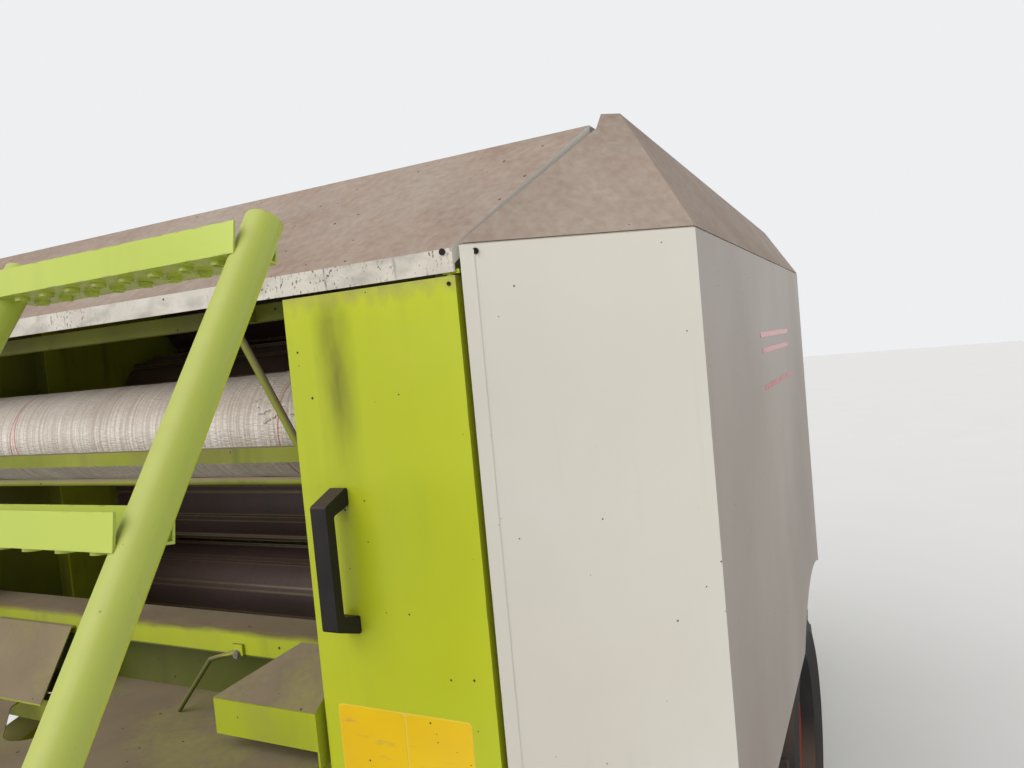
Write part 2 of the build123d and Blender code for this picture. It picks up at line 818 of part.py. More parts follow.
def platform():
    deck = plate_z(
        [
            (-520, recess_y),
            (-520, -1680),
            (ladder_inner_x - 40, -1680),
            (ladder_inner_x - 40, ladder_pivot_y + 40),
            (ladder_outer_x + 40, ladder_pivot_y + 40),
            (ladder_outer_x + 40, door_swing_y),
            (560, door_swing_y),
            (560, recess_y),
        ],
        platform_z - 4,
        platform_z,
    )
    slot = Pos(slot_x, slot_y, platform_z - 10) * Rot(0, 0, slot_turn) * SlotOverall(slot_length, slot_width)
    deck = deck - extrude(slot, 20)
    beam_face = face_y + beam_back
    ramp = strip([(beam_face - 96, platform_z), (beam_face - 10, 1196), (beam_face, 1196)], 4, -470, -200)
    slope = Plane(origin=(0, beam_face, 1216), x_dir=(1, 0, 0), z_dir=(0, -0.5, 0.866))
    hopper = make_face(Polyline((340, -130), (452, 0), (572, 0), (572, -130), close=True))
    hopper = extrude(slope * hopper, 4)
    lip_y = beam_face - 130 * 0.866
    lip_z = 1216 - 130 * 0.5
    lip = box(340, 572, lip_y - 1, lip_y + 3, lip_z - 62, lip_z + 3)
    cheek = plate_x([(lip_y, platform_z), (lip_y, lip_z), (beam_face, 1216), (beam_face, platform_z)], 568, 572)
    rails = []
    for x, rear in ((ladder_inner_x - 20, face_y + 10), (ladder_outer_x - 20, door_swing_y)):
        rails.append(box(x, x + 40, ladder_pivot_y + 20, rear, platform_z - 54, platform_z - 4))
    side_rail = box(ladder_inner_x, ladder_outer_x, door_swing_y - 40, door_swing_y, platform_z - 54, platform_z - 4)
    front = box(ladder_inner_x - 40, ladder_outer_x + 40, ladder_pivot_y + 40, ladder_pivot_y + 90, platform_z - 54, platform_z - 4)
    leg_x, leg_z = arm_at(ladder_pivot_y + 65)
    leg = box(leg_x - 25, leg_x + 45, ladder_pivot_y + 40, ladder_pivot_y + 90, leg_z, platform_z - 4) - arm()
    leg = leg & box(0, 1000, -3000, 0, leg_z + arm_height / 2 - 30, platform_z)
    foot = box(leg_x - 25, ladder_inner_x, ladder_pivot_y + 40, ladder_pivot_y + 90, platform_z - 54, platform_z - 4)
    rear = box(-cheek_x, cheek_x, face_y + 34, face_y + 60, platform_z - 54, platform_z - 4)
    lugs = []
    for x in (ladder_inner_x, ladder_outer_x):
        for side in (-1, 1):
            lug = box(x + side * 34 - 4, x + side * 34 + 4, ladder_pivot_y - 22, ladder_pivot_y + 60, platform_z - 54, ladder_pivot_z + 22)
            lugs.append(lug)
        lugs.append(rod_x(x - 38, x + 38, ladder_pivot_y, ladder_pivot_z, 9))
    return joined(deck, ramp, hopper, lip, cheek, *rails, side_rail, front, leg, foot, rear, *lugs)


ladder_run = (ladder_top_y - ladder_pivot_y, ladder_top_z - ladder_pivot_z)
ladder_length = hypot(*ladder_run)
rung_pitch = 321
rung_tilt = 8
rung_inset = 30
holes_per_row = 8
hole_pitch = 50
hole_radius = 6


def ladder():
    stringers = []
    along = (ladder_run[0] / ladder_length, ladder_run[1] / ladder_length)
    start = 12
    for x in (ladder_inner_x, ladder_outer_x):
        low = (x, ladder_pivot_y + along[0] * start, ladder_pivot_z + along[1] * start)
        high = (x, ladder_top_y, ladder_top_z)
        boss = rod_x(x - 26, x + 26, ladder_pivot_y, ladder_pivot_z, 26)
        stringers += [bar(low, high, ladder_tube_radius), boss]
    rungs = []
    for number in range(3):
        at = ladder_length - rung_inset - rung_pitch * number
        y = ladder_pivot_y + along[0] * at
        z = ladder_pivot_z + along[1] * at
        width = ladder_outer_x - ladder_inner_x
        web = box(-width / 2, width / 2, -32, 32, -17, -14)
        lips = [box(-width / 2, width / 2, y0, y0 + 3, -17, 18) for y0 in (-32, 29)]
        rung = joined(web, *lips)
        for place in range(holes_per_row):
            x = (place - (holes_per_row - 1) / 2) * hole_pitch
            for y_hole in (-13, 13):
                rung = rung + rod_z(x, y_hole, -22, -15, hole_radius + 2.5)
                rung = rung - rod_z(x, y_hole, -23, -13, hole_radius)
        rungs.append(Pos((ladder_inner_x + ladder_outer_x) / 2, y, z) * Rot(-rung_tilt, 0, 0) * rung)
    whole = joined(*stringers, *rungs)
    for x in (ladder_inner_x, ladder_outer_x):
        whole = whole - rod_x(x - 40, x + 40, ladder_pivot_y, ladder_pivot_z, 9 + running_fit)
    return whole


# Tailgate: two wall plates, the curved rear shell, its ribs and the hinge lugs
lug_inner = wall_outer + bearing_depth + 8
lug_outer = lug_inner + 14
shell_radius = wall_radius + shell_thickness


def tailgate_shell():
    front_part = box(-1000, 1000, -1200, split_y + split_gap, 0, 2600)
    disc = rod_x(half_width, wall_outer, 0, chamber_height, wall_radius)
    skin = rod_x(-wall_outer, wall_outer, 0, chamber_height, shell_radius)
    skin = skin - rod_x(-wall_outer - 1, wall_outer + 1, 0, chamber_height, wall_radius)
    ribs = []
    for angle in (-55, -15, 25, 60):
        turn = Pos(0, 0, chamber_height) * Rot(angle, 0, 0)
        ribs.append(turn * box(-wall_outer, wall_outer, shell_radius - 2, shell_radius + 42, -30, 30))
    pieces = [skin, *ribs]
    for plate in both(joined(disc, *bearing_housings(rear_roller_steps))):
        pieces.append(plate)
    whole = joined(*pieces) - front_part
    for side in (1, -1):
        for bore in shaft_bores(rear_roller_steps):
            whole = whole - (bore if side == 1 else mirror(bore, about=Plane.YZ))
    lug = plate_x(
        [
            (tailgate_pivot_y - 30, tailgate_pivot_z + 22),
            (tailgate_pivot_y + 34, tailgate_pivot_z + 22),
            (tailgate_pivot_y + 90, tailgate_pivot_z - 50),
            (tailgate_pivot_y + 90, tailgate_pivot_z - 105),
            (tailgate_pivot_y + 20, tailgate_pivot_z - 105),
            (tailgate_pivot_y - 30, tailgate_pivot_z - 26),
        ],
        lug_inner,
        lug_outer,
    )
    spacer = box(wall_outer, lug_inner, split_y + 20, split_y + 80, tailgate_pivot_z - 105, tailgate_pivot_z - 50)
    lug = lug + spacer
    lug = lug - rod_x(lug_inner - 1, lug_outer + 1, tailgate_pivot_y, tailgate_pivot_z, 20 + running_fit)
    return joined(whole, *both(lug))


def tailgate_pivot():
    """Bracket and pin on the fixed wall that the tailgate hangs from."""
    bracket = plate_x(
        [
            (tailgate_pivot_y - pivot_bracket_length, tailgate_pivot_z - 36),
            (tailgate_pivot_y - pivot_bracket_length, tailgate_pivot_z + 28),
            (tailgate_pivot_y, tailgate_pivot_z + 28),
            (tailgate_pivot_y, tailgate_pivot_z - 28),
        ],
        wall_outer,
        wall_outer + 14,
    )
    bracket = bracket + rod_x(wall_outer, wall_outer + 14, tailgate_pivot_y, tailgate_pivot_z, 28)
    pin = rod_x(wall_outer, lug_outer + 12, tailgate_pivot_y, tailgate_pivot_z, 20)
    cap = rod_x(lug_outer + 4, lug_outer + 12, tailgate_pivot_y, tailgate_pivot_z, 30)
    return joined(bracket, pin, cap)


# Lift cylinders: the barrel turns on the fixed wall, the rod's eye sits on the tailgate
cylinder_run = (cylinder_eye_y - cylinder_base_y, cylinder_eye_z - cylinder_base_z)
cylinder_rest = hypot(*cylinder_run)
cylinder_dir = (cylinder_run[0] / cylinder_rest, cylinder_run[1] / cylinder_rest)


eye_side_gap = 5
lug_end = cylinder_x - 18 - 2 * eye_side_gap + 4


def along_cylinder(distance):
    return (cylinder_x, cylinder_base_y + cylinder_dir[0] * distance, cylinder_base_z + cylinder_dir[1] * distance)


def barrel():
    body = bar(along_cylinder(46), along_cylinder(barrel_length), barrel_radius)
    neck = bar(along_cylinder(24), along_cylinder(60), 19)
    gland = bar(along_cylinder(barrel_length - 50), along_cylinder(barrel_length), barrel_radius + 6)
    eye = rod_x(cylinder_x - 20, cylinder_x + 20, cylinder_base_y, cylinder_base_z, 34)
    hollow = bar(along_cylinder(80), along_cylinder(barrel_length + 1), rod_radius + 0.3)
    bore = rod_x(cylinder_x - 30, cylinder_x + 30, cylinder_base_y, cylinder_base_z, 16 + running_fit)
    return joined(body, neck, gland, eye) - hollow - bore


def rod():
    shaft = bar(along_cylinder(110), along_cylinder(cylinder_rest - 20), rod_radius)
    eye = rod_x(cylinder_x - 18, cylinder_x + 18, cylinder_eye_y, cylinder_eye_z, 34)
    pin = rod_x(lug_end + eye_side_gap, cylinder_x + 34, cylinder_eye_y, cylinder_eye_z, 16)
    cap = rod_x(cylinder_x + 26, cylinder_x + 34, cylinder_eye_y, cylinder_eye_z, 28)
    return joined(shaft, eye, pin, cap)


def cylinder_base():
    pin = rod_x(wall_outer, cylinder_x + 34, cylinder_base_y, cylinder_base_z, 16)
    boss = rod_x(wall_outer, cylinder_x - 26, cylinder_base_y, cylinder_base_z, 36)
    cap = rod_x(cylinder_x + 26, cylinder_x + 34, cylinder_base_y, cylinder_base_z, 28)
    return joined(pin, boss, cap)


def cylinder_lug():
    """The tailgate's boss. The eye's pin stops beside it, so that the eye can drift past it."""
    return rod_x(wall_outer, lug_end, cylinder_eye_y, cylinder_eye_z, 40)


# Guards over the tailgate's chains, open at the bearing side


def tailgate_guard():
    inner_x = lug_outer + 8
    outer = rod_x(inner_x, guard_outer_x, 0, chamber_height, 880)
    hollow = rod_x(inner_x - 1, guard_outer_x - sheet, 0, chamber_height, 880 - sheet)
    skirt = outer - hollow
    front_part = box(500, 900, -1200, 305, 0, 2600)
    legs = []
    for angle in (-50, 0, 50):
        turn = Pos(0, 0, chamber_height) * Rot(angle, 0, 0)
        legs.append(turn * box(wall_outer, guard_outer_x - sheet, 845, 865, -20, 20))
    shape = skirt - front_part
    edge = box(inner_x, guard_outer_x, 305, 305 + sheet, 560, 2190)
    edge = edge & rod_x(inner_x, guard_outer_x, 0, chamber_height, 880)
    return joined(shape, edge, *legs) - rod_x(600, 900, cylinder_eye_y, cylinder_eye_z, 60)


def rear_lamps():
    """A lamp bar across the tailgate with a lamp cluster at each end."""
    bar_z = chamber_height - 330
    back = sqrt(shell_radius ** 2 - (chamber_height - bar_z) ** 2)
    beam = box(-700, 700, back + 30, back + 60, bar_z - 40, bar_z + 40)
    stay = box(300, 340, back - 30, back + 30, bar_z - 30, bar_z + 30)
    stays = both(stay - rod_x(290, 350, 0, chamber_height, shell_radius))
    lamps = both(box(520, 700, back + 60, rear_reach, bar_z - 50, bar_z + 50))
    return beam, stays, lamps


# Pick-up: side plates, stripper bands, tined reel, gauge wheels and the wind guard
side_plate = 8
tube_side = 60
tube_y = reel_y + 268
tube_z = reel_z - 60
band_radius = 178
band_width = 52
tine_pitch = 70
tine_width = 8


def pickup_sides():
    """Side plates with the pins of the gauge wheels and of the wind guard."""
    half = pickup_width / 2
    side = plate_x(
        [
            (reel_y - 130, reel_z - 60),
            (reel_y - 150, reel_z + 60),
            (reel_y - 60, reel_z + 190),
            (rotor_y - 60, rotor_z + 60),
            (rotor_y + 40, rotor_z + 60),
            (rotor_y + 40, rotor_z - 60),
            (tube_y + tube_side + 12, tube_z - 44),
            (reel_y, reel_z - 150),
        ],
        half - side_plate,
        half,
    )
    side = side - rod_x(half - side_plate - 1, half + 1, reel_y, reel_z, 22 + running_fit)
    gauge_pin = rod_x(half, half + gauge_width + 14, gauge_y, gauge_z, 14)
    guard_pin = rod_x(half - 60, half - side_plate, guard_pivot_y, guard_pivot_z, 10)
    return joined(side, gauge_pin, guard_pin)


def pickup_arms():
    """Arms from the cross tube to the rotor's housings, which the pick-up swings about."""
    x0 = wall_outer + 4
    x1 = x0 + 12
    plate = plate_x(
        [
            (tube_y + 1, tube_z - tube_side / 2 - 20),
            (tube_y + 1, tube_z + tube_side / 2 + 1),
            (rotor_y - 90, rotor_z),
            (rotor_y + 90, rotor_z),
            (tube_y + tube_side + 22, tube_z - tube_side / 2 - 20),
        ],
        x0,
        x1,
    )
    plate = plate + rod_x(x0, x1, rotor_y, rotor_z, rotor_housing_radius + 30)
    plate = plate - rod_x(x0 - 1, x1 + 1, rotor_y, rotor_z, rotor_housing_radius + running_fit)
    return plate - cross_tube()


def cross_tube():
    half = pickup_width / 2 - side_plate
    return box(-half, half, tube_y, tube_y + tube_side, tube_z - tube_side / 2, tube_z + tube_side / 2)


def tine_places():
    """The x of each tine in a row."""
    half = pickup_width / 2 - 14
    count = int((2 * half - 60) // tine_pitch)
    return [(number - count / 2) * tine_pitch for number in range(count + 1)]


def stripper_band(x0, x1):
    """A bent strip round the front of the reel, fixed to the cross tube at its lower end."""
    corner = (tube_y, tube_z - tube_side / 2 + sheet)
    run = (corner[0] - reel_y, corner[1] - reel_z)
    distance = hypot(*run)
    outer = band_radius + sheet
    low = atan2(run[1], run[0]) - acos(outer / distance)
    high = radians(62)
    far = 4 * band_radius
    ring = Circle(outer) - Circle(band_radius)
    wedge = make_face(
        Polyline((0, 0), (far * cos(low), far * sin(low)), (far, 0), (far * cos(high), far * sin(high)), close=True)
    )
    ring = ring - wedge
    leg = make_face(
        Polyline(
            (band_radius * cos(low), band_radius * sin(low)),
            (outer * cos(low), outer * sin(low)),
            (run[0], run[1]),
            (run[0], run[1] + sheet + 1),
            close=True,
        )
    )
    plane = Plane(origin=(x0, reel_y, reel_z), x_dir=(0, 1, 0), z_dir=(1, 0, 0))
    return extrude(plane * (ring + leg), x1 - x0)


def pickup_tube():
    """The cross tube with its row of stripper bands, one in each gap between tines."""
    places = tine_places()
    end = pickup_width / 2 - side_plate
    gap = (tine_pitch - band_width) / 2
    bands = [stripper_band(x + gap, x + gap + band_width) for x in places[:-1]]
    bands.append(stripper_band(places[-1] + gap, end))
    bands.append(stripper_band(-end, places[0] - gap))
    return joined(cross_tube(), *bands)


def pickup_reel():
    half = pickup_width / 2 - 14
    core = rod_x(-half, half, reel_y, reel_z, 60)
    ends = rod_x(-pickup_width / 2 + 1, pickup_width / 2 - 1, reel_y, reel_z, 22)
    pieces = [core, ends]
    for row in range(4):
        turn = Pos(0, reel_y, reel_z) * Rot(90 * row, 0, 0)
        tube = turn * rod_x(-half, half, 0, 130, 14)
        web = [turn * box(x - 4, x + 4, -18, 18, 50, 130) for x in (-half + 40, 0, half - 40)]
        pieces += [tube, *web]
    whole = joined(*pieces)
    tines = []
    for row in range(4):
        turn = Pos(0, reel_y, reel_z) * Rot(90 * row, 0, 0)
        for x in tine_places():
            tines.append(turn * box(x - tine_width / 2, x + tine_width / 2, -3, 5, 138, reel_radius))
    return whole, tines


def gauge_wheel():
    x = pickup_width / 2 + 10 + gauge_width / 2
    half = gauge_width / 2
    body = rod_x(x - half, x + half, gauge_y, gauge_z, gauge_radius)
    body = fillet(body.edges().filter_by(GeomType.CIRCLE), 24)
    body = body - rod_x(x + half - 18, x + half + 1, gauge_y, gauge_z, 96)
    return body - rod_x(x - 100, x + 100, gauge_y, gauge_z, 14 + running_fit)


def wind_guard():
    half = pickup_width / 2 - 60
    pipe = rod_x(-half, half, guard_pipe_y, guard_pipe_z, 20)
    fingers = []
    for x in range(int(-half) + 40, int(half), 130):
        fingers.append(bar((x, guard_pipe_y, guard_pipe_z), (x, guard_pipe_y + 180, guard_pipe_z - 8), 8))
    outline = [
        (guard_pipe_y - 20, guard_pipe_z - 20),
        (guard_pipe_y - 20, guard_pipe_z + 20),
        (guard_pivot_y - 20, guard_pivot_z + 20),
        (guard_pivot_y + 20, guard_pivot_z + 20),
        (guard_pivot_y + 20, guard_pivot_z - 20),
    ]
    arm_plate = plate_x(outline, half, half + 8)
    bored = arm_plate - rod_x(half - 1, half + 9, guard_pivot_y, guard_pivot_z, 10 + running_fit)
    return joined(pipe, *fingers), bored


guard_pivot_y = rotor_y - 90
guard_pivot_z = rotor_z + 20
guard_pipe_y = reel_y - 120
guard_pipe_z = 600


def feed_rotor():
    half = half_width - 8
    core = rod_x(-half, half, rotor_y, rotor_z, 90)
    shaft_end = wall_outer + bearing_depth + shaft_stick_out
    shaft = rod_x(-shaft_end, shaft_end, rotor_y, rotor_z, rotor_shaft_radius)
    stars = []
    for number in range(11):
        x = -500 + number * 100
        for arm_number in range(3):
            angle = 120 * arm_number + 20 * number
            turn = Pos(0, rotor_y, rotor_z) * Rot(angle, 0, 0)
            tooth = plate_x([(-50, 60), (50, 60), (34, rotor_radius - 40), (-30, rotor_radius), (-20, 140)], x - 5, x + 5)
            stars.append(turn * tooth)
    return joined(core, shaft, *stars)


save_pair("chamber_wall", joined(fixed_wall(), tailgate_pivot(), cylinder_base()))
save("axle", axle())
save("drawbar", drawbar())
save("gearbox", gearbox())
save("drive_shaft", drive_shaft())
save("jack_sleeve", jack_sleeve())
save("jack_leg", jack_leg())
save_pair("tyre", tyre())
save_pair("rim", rim())
save("front_beam", front_beam())
save("net_box", net_box())
save("net_roll", net_roll())
save("side_frame", *both(side_frame()))
save("hinge_frame", *both(hinge_frame()))
save("roof_deck", roof_deck())
save("hood", hood())
save_pair("side_cover", side_cover())
save_pair("cover_roof", cover_roof())
save_pair("front_door", front_door())
save_pair("door_handle", door_handle())
save("platform", platform())
save("ladder", ladder())
lamp_beam, lamp_stays, lamp_blocks = rear_lamps()
save("tailgate_shell", joined(tailgate_shell(), lamp_beam, *lamp_stays, *both(cylinder_lug())))
save_pair("cylinder_barrel", barrel())
save_pair("cylinder_rod", rod())
save("tailgate_guards", *both(tailgate_guard()))
save("rear_lamps", *lamp_blocks)
save("pickup_sides", *both(pickup_sides()))
save("pickup_arms", *both(pickup_arms()))
save("pickup_tube", pickup_tube())
reel_core, reel_tines = pickup_reel()
save("pickup_reel", joined(reel_core, *reel_tines))
save_pair("gauge_wheel", gauge_wheel())
guard_grid, guard_arm = wind_guard()
save("wind_guard", guard_grid)
save("guard_arms", *both(guard_arm))
save("feed_rotor", feed_rotor())
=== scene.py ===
import math

import bmesh
import bpy
from mathutils import Matrix, Vector, noise
from mathutils.bvhtree import BVHTree


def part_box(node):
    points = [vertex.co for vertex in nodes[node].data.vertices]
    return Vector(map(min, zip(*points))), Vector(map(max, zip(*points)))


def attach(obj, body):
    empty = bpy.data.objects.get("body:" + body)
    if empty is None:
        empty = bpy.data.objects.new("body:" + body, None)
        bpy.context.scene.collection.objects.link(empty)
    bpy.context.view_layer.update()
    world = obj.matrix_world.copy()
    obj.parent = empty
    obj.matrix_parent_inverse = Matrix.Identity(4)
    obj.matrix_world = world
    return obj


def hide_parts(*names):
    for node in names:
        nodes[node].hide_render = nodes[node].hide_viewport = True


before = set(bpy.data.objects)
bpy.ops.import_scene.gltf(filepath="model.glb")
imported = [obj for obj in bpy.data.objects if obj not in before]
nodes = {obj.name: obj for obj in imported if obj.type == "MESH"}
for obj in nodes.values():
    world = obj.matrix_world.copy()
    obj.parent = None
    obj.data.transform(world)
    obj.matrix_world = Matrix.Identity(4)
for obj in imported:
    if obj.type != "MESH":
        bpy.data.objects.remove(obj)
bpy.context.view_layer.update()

# Chassis: drawbar, chamber walls, front beam, platform and the frames behind the covers.
# They are welded sheet and box steel, sprayed light green and then left to collect barn dust; where
# they lie in shade, a darker copy of the green is painted in as shade.
# Dust settles on what faces up, edges lose their paint, and rain leaves runs on what stands.


def place(tree, kind, inputs=None, **settings):
    """One node of a tree, with its settings, and its inputs given as values or as sockets."""
    made = tree.nodes.new(kind)
    for key, value in settings.items():
        setattr(made, key, value)
    for key, value in (inputs or {}).items():
        if isinstance(value, bpy.types.NodeSocket):
            tree.links.new(value, made.inputs[key])
        else:
            made.inputs[key].default_value = value
    return made


def laid_over(tree, mask, under, over):
    """The colour over where the mask is 1, and the colour under where it is 0."""
    return place(tree, "ShaderNodeMix", {0: mask, 6: under, 7: over}, data_type="RGBA").outputs[2]


def between(tree, value, low, high, to_low=0.0, to_high=1.0):
    """A value that goes from one end to the other while the given one goes from low to high."""
    limits = {"Value": value, "From Min": low, "From Max": high}
    limits.update({"To Min": to_low, "To Max": to_high})
    return place(tree, "ShaderNodeMapRange", limits, clamp=True).outputs[0]


def figure(tree, operation, *values):
    """A sum, product or other figure of values and sockets."""
    return place(tree, "ShaderNodeMath", dict(enumerate(values)), operation=operation).outputs[0]


def mask_figure(tree, operation, first, second):
    """A figure of two masks, kept between 0 and 1."""
    both = {0: first, 1: second}
    return place(tree, "ShaderNodeMath", both, operation=operation, use_clamp=True).outputs[0]


def overlap(tree, first, second):
    return mask_figure(tree, "MULTIPLY", first, second)


def object_place(tree):
    """Where on its object a point lies, as sockets for X, Y and Z."""
    where = place(tree, "ShaderNodeTexCoord").outputs["Object"]
    return place(tree, "ShaderNodeSeparateXYZ", {0: where}).outputs


def facing_of(tree, axis):
    normal = place(tree, "ShaderNodeNewGeometry").outputs["Normal"]
    return place(tree, "ShaderNodeSeparateXYZ", {0: normal}).outputs[axis]


def grain(tree, scale, detail=4.0, stretch=(1, 1, 1)):
    """Noise that stays on its object, with so many grains to a metre."""
    where = place(tree, "ShaderNodeTexCoord").outputs["Object"]
    where = place(tree, "ShaderNodeMapping", {"Vector": where, "Scale": stretch}).outputs[0]
    settings = {"Vector": where, "Scale": scale, "Detail": detail}
    return place(tree, "ShaderNodeTexNoise", settings).outputs["Fac"]


def bump(tree, skin, height, strength, distance):
    raised = {"Strength": strength, "Distance": distance, "Height": height}
    tree.links.new(place(tree, "ShaderNodeBump", raised).outputs[0], skin.inputs["Normal"])


def effect(name, sliders):
    """An empty effect group with a Mask output, its inner tree and its input sockets."""
    tree = bpy.data.node_groups.new(name, "ShaderNodeTree")
    for label, value in sliders.items():
        socket = tree.interface.new_socket(label, in_out="INPUT", socket_type="NodeSocketFloat")
        socket.default_value = value
    tree.interface.new_socket("Mask", in_out="OUTPUT", socket_type="NodeSocketFloat")
    return tree, tree.nodes.new("NodeGroupInput").outputs


def close(tree, mask):
    out = tree.nodes.new("NodeGroupOutput")
    tree.links.new(mask, out.inputs["Mask"])
    return tree


def make_settled_dust():
    tree, given = effect("settled_dust", {"On Top": 0.8, "All Over": 0.15})
    up = between(tree, facing_of(tree, "Z"), 0.12, 0.5)
    patches = between(tree, grain(tree, 3.2, 8), 0.34, 0.62, 0.8, 1.0)
    fine = between(tree, grain(tree, 70, 5), 0.3, 0.7, 0.85, 1.0)
    top = overlap(tree, overlap(tree, up, patches), fine)
    film = between(tree, grain(tree, 5.5, 9, (1, 1, 0.6)), 0.42, 0.75)
    top = overlap(tree, top, given["On Top"])
    film = overlap(tree, film, given["All Over"])
    return close(tree, mask_figure(tree, "ADD", top, film))


def make_rubbed_edges():
    tree, given = effect("rubbed_edges", {"Reach": 0.004, "Share": 0.5, "Evenness": 0.0})
    bent = place(tree, "ShaderNodeBevel", {"Radius": given["Reach"]}, samples=4).outputs[0]
    flat = place(tree, "ShaderNodeNewGeometry").outputs["Normal"]
    same = place(tree, "ShaderNodeVectorMath", {0: bent, 1: flat}, operation="DOT_PRODUCT")
    edge = between(tree, same.outputs["Value"], 0.985, 0.86)
    patchy = between(tree, grain(tree, 38, 6), 0.5, 0.62)
    wide = between(tree, grain(tree, 4.5, 3), 0.4, 0.6, 0.15, 1.0)
    patchy = overlap(tree, patchy, wide)
    patchy = mask_figure(tree, "MAXIMUM", patchy, given["Evenness"])
    mask = overlap(tree, edge, patchy)
    return close(tree, overlap(tree, mask, given["Share"]))


def make_fly_specks():
    tree, given = effect("fly_specks", {"Spread": 55.0, "Size": 0.12})
    where = place(tree, "ShaderNodeTexCoord").outputs["Object"]
    cells = place(tree, "ShaderNodeTexVoronoi", {"Vector": where, "Scale": given["Spread"]}).outputs
    chance = place(tree, "ShaderNodeSeparateColor", {0: cells["Color"]}).outputs[0]
    size = overlap(tree, between(tree, chance, 0.72, 1.0), given["Size"])
    outside = figure(tree, "SUBTRACT", cells["Distance"], size)
    return close(tree, between(tree, outside, 0.02, -0.02))


def make_rain_runs():
    tree, given = effect("rain_runs", {"Amount": 0.3})
    lines = between(tree, grain(tree, 24, 5, (1, 1, 0.05)), 0.52, 0.72)
    blots = between(tree, grain(tree, 3.4, 4), 0.45, 0.68)
    mask = overlap(tree, lines, blots)
    return close(tree, overlap(tree, mask, given["Amount"]))


settled_dust = make_settled_dust()
rubbed_edges = make_rubbed_edges()
fly_specks = make_fly_specks()
rain_runs = make_rain_runs()


def mask_of(tree, group, **sliders):
    """The mask of an effect group placed in a material, with its sliders set."""
    made = place(tree, "ShaderNodeGroup", node_tree=group)
    for key, value in sliders.items():
        made.inputs[key.replace("_", " ").title()].default_value = value
    return made.outputs["Mask"]


def new_finish(name):
    finish = bpy.data.materials.new(name)
    finish.use_nodes = True
    tree = finish.node_tree
    return finish, tree, tree.nodes["Principled BSDF"]


def colour(red, green, blue):
    return (red, green, blue, 1.0)


barn_dust = colour(0.215, 0.143, 0.103)
rust = colour(0.13, 0.055, 0.025)
soot = colour(0.035, 0.028, 0.02)
swirl_gain = 1.18


def painted_steel(
    name,
    paint,
    faded,
    on_top=0.8,
    all_over=0.06,
    worn=0.6,
    runs=0.35,
    specks=0.10,
    shine=0.34,
    bare=rust,
    dust_tone=barn_dust,
    marks=None,
):
    """Sprayed paint with its rain runs, rubbed edges, a piece's own marks, dust and specks."""
    finish, tree, skin = new_finish(name)
    base = laid_over(tree, between(tree, grain(tree, 2.2, 6), 0.35, 0.7), paint, faded)
    base = laid_over(tree, mask_of(tree, rain_runs, amount=runs), base, soot)
    base = laid_over(tree, mask_of(tree, rubbed_edges, reach=0.003, share=worn), base, bare)
    if marks:
        base = marks(tree, base)
    dust = mask_of(tree, settled_dust, on_top=on_top, all_over=all_over)
    swirls = between(tree, grain(tree, 6.5, 8), 0.42, 0.66)
    pale_dust = colour(*[channel * swirl_gain for channel in dust_tone[:3]])
    base = laid_over(tree, dust, base, laid_over(tree, swirls, dust_tone, pale_dust))
    base = laid_over(tree, mask_of(tree, fly_specks, spread=48.0, size=specks), base, soot)
    tree.links.new(base, skin.inputs["Base Color"])
    tree.links.new(between(tree, dust, 0.0, 0.7, shine, 0.85), skin.inputs["Roughness"])
    skin.inputs["Specular IOR Level"].default_value = 0.35
    peel = between(tree, grain(tree, 160, 3), 0.3, 0.7, 0.0, 0.22)
    crumbs = overlap(tree, dust, grain(tree, 420, 4))
    bump(tree, skin, figure(tree, "ADD", crumbs, peel), strength=0.12, distance=0.0012)
    return finish


def dress(finish, *names):
    for name in names:
        nodes[name].data.materials.clear()
        nodes[name].data.materials.append(finish)


def both_sides(*names):
    return [f"{name}_{side}" for name in names for side in ("left", "right")]


green = colour(0.435, 0.49, 0.012)
pale_green = colour(0.49, 0.53, 0.03)
# A darker copy of the green, painted shade for the parts that lie in shade.
shaded_green = colour(0.27, 0.30, 0.012)
# A very dark copy of the green, painted shade for the inside of the net box.
deep_shade_green = colour(0.10, 0.11, 0.008)
olive_dust = colour(0.19, 0.145, 0.09)
green_paint = painted_steel("green_paint", green, pale_green)
dress(green_paint, "drawbar", "side_frame", "hinge_frame")
trodden = {"on_top": 0.97, "worn": 0.7, "runs": 0.6, "specks": 0.14, "shine": 0.5}
trodden["dust_tone"] = olive_dust
# The platform and chamber walls are painted in the shaded copy of the green as painted shade, with
# real dust over it.
dusty_shaded_green_paint = painted_steel(
    "dusty_shaded_green_paint", shaded_green, green, all_over=0.35, **trodden
)
dress(dusty_shaded_green_paint, "platform", *both_sides("chamber_wall"))

# Front beam: a folded box across the machine below the net box, which a foot rests on.
# Brown dirt is trodden along its upper edge; the beam is painted in the shaded copy of the green,
# and a painted shade darkens the recess in its face.
beam_ledge = 1.222
beam_recess = 1.182
trodden_dirt = colour(0.10, 0.06, 0.042)
recess_shade = colour(0.03, 0.04, 0.006)


def beam_dirt_and_shade(tree, base):
    height = object_place(tree)["Z"]
    ragged = between(tree, grain(tree, 30, 7, (0.4, 1, 1)), 0.3, 0.7, -0.004, 0.004)
    ragged = figure(tree, "ADD", height, ragged)
    # Painted shade: below the recess edge the colour is darkened towards recess_shade.
    recess = between(tree, height, beam_recess + 0.001, beam_recess - 0.001, 0.0, 0.85)
    base = laid_over(tree, recess, base, recess_shade)
    ledge = between(tree, ragged, beam_ledge - 0.006, beam_ledge + 0.006, 0.0, 0.9)
    return laid_over(tree, ledge, base, trodden_dirt)


beam_shaded_green_paint = painted_steel(
    "beam_shaded_green_paint", shaded_green, green, all_over=0.25, marks=beam_dirt_and_shade, **trodden
)
dress(beam_shaded_green_paint, "front_beam")

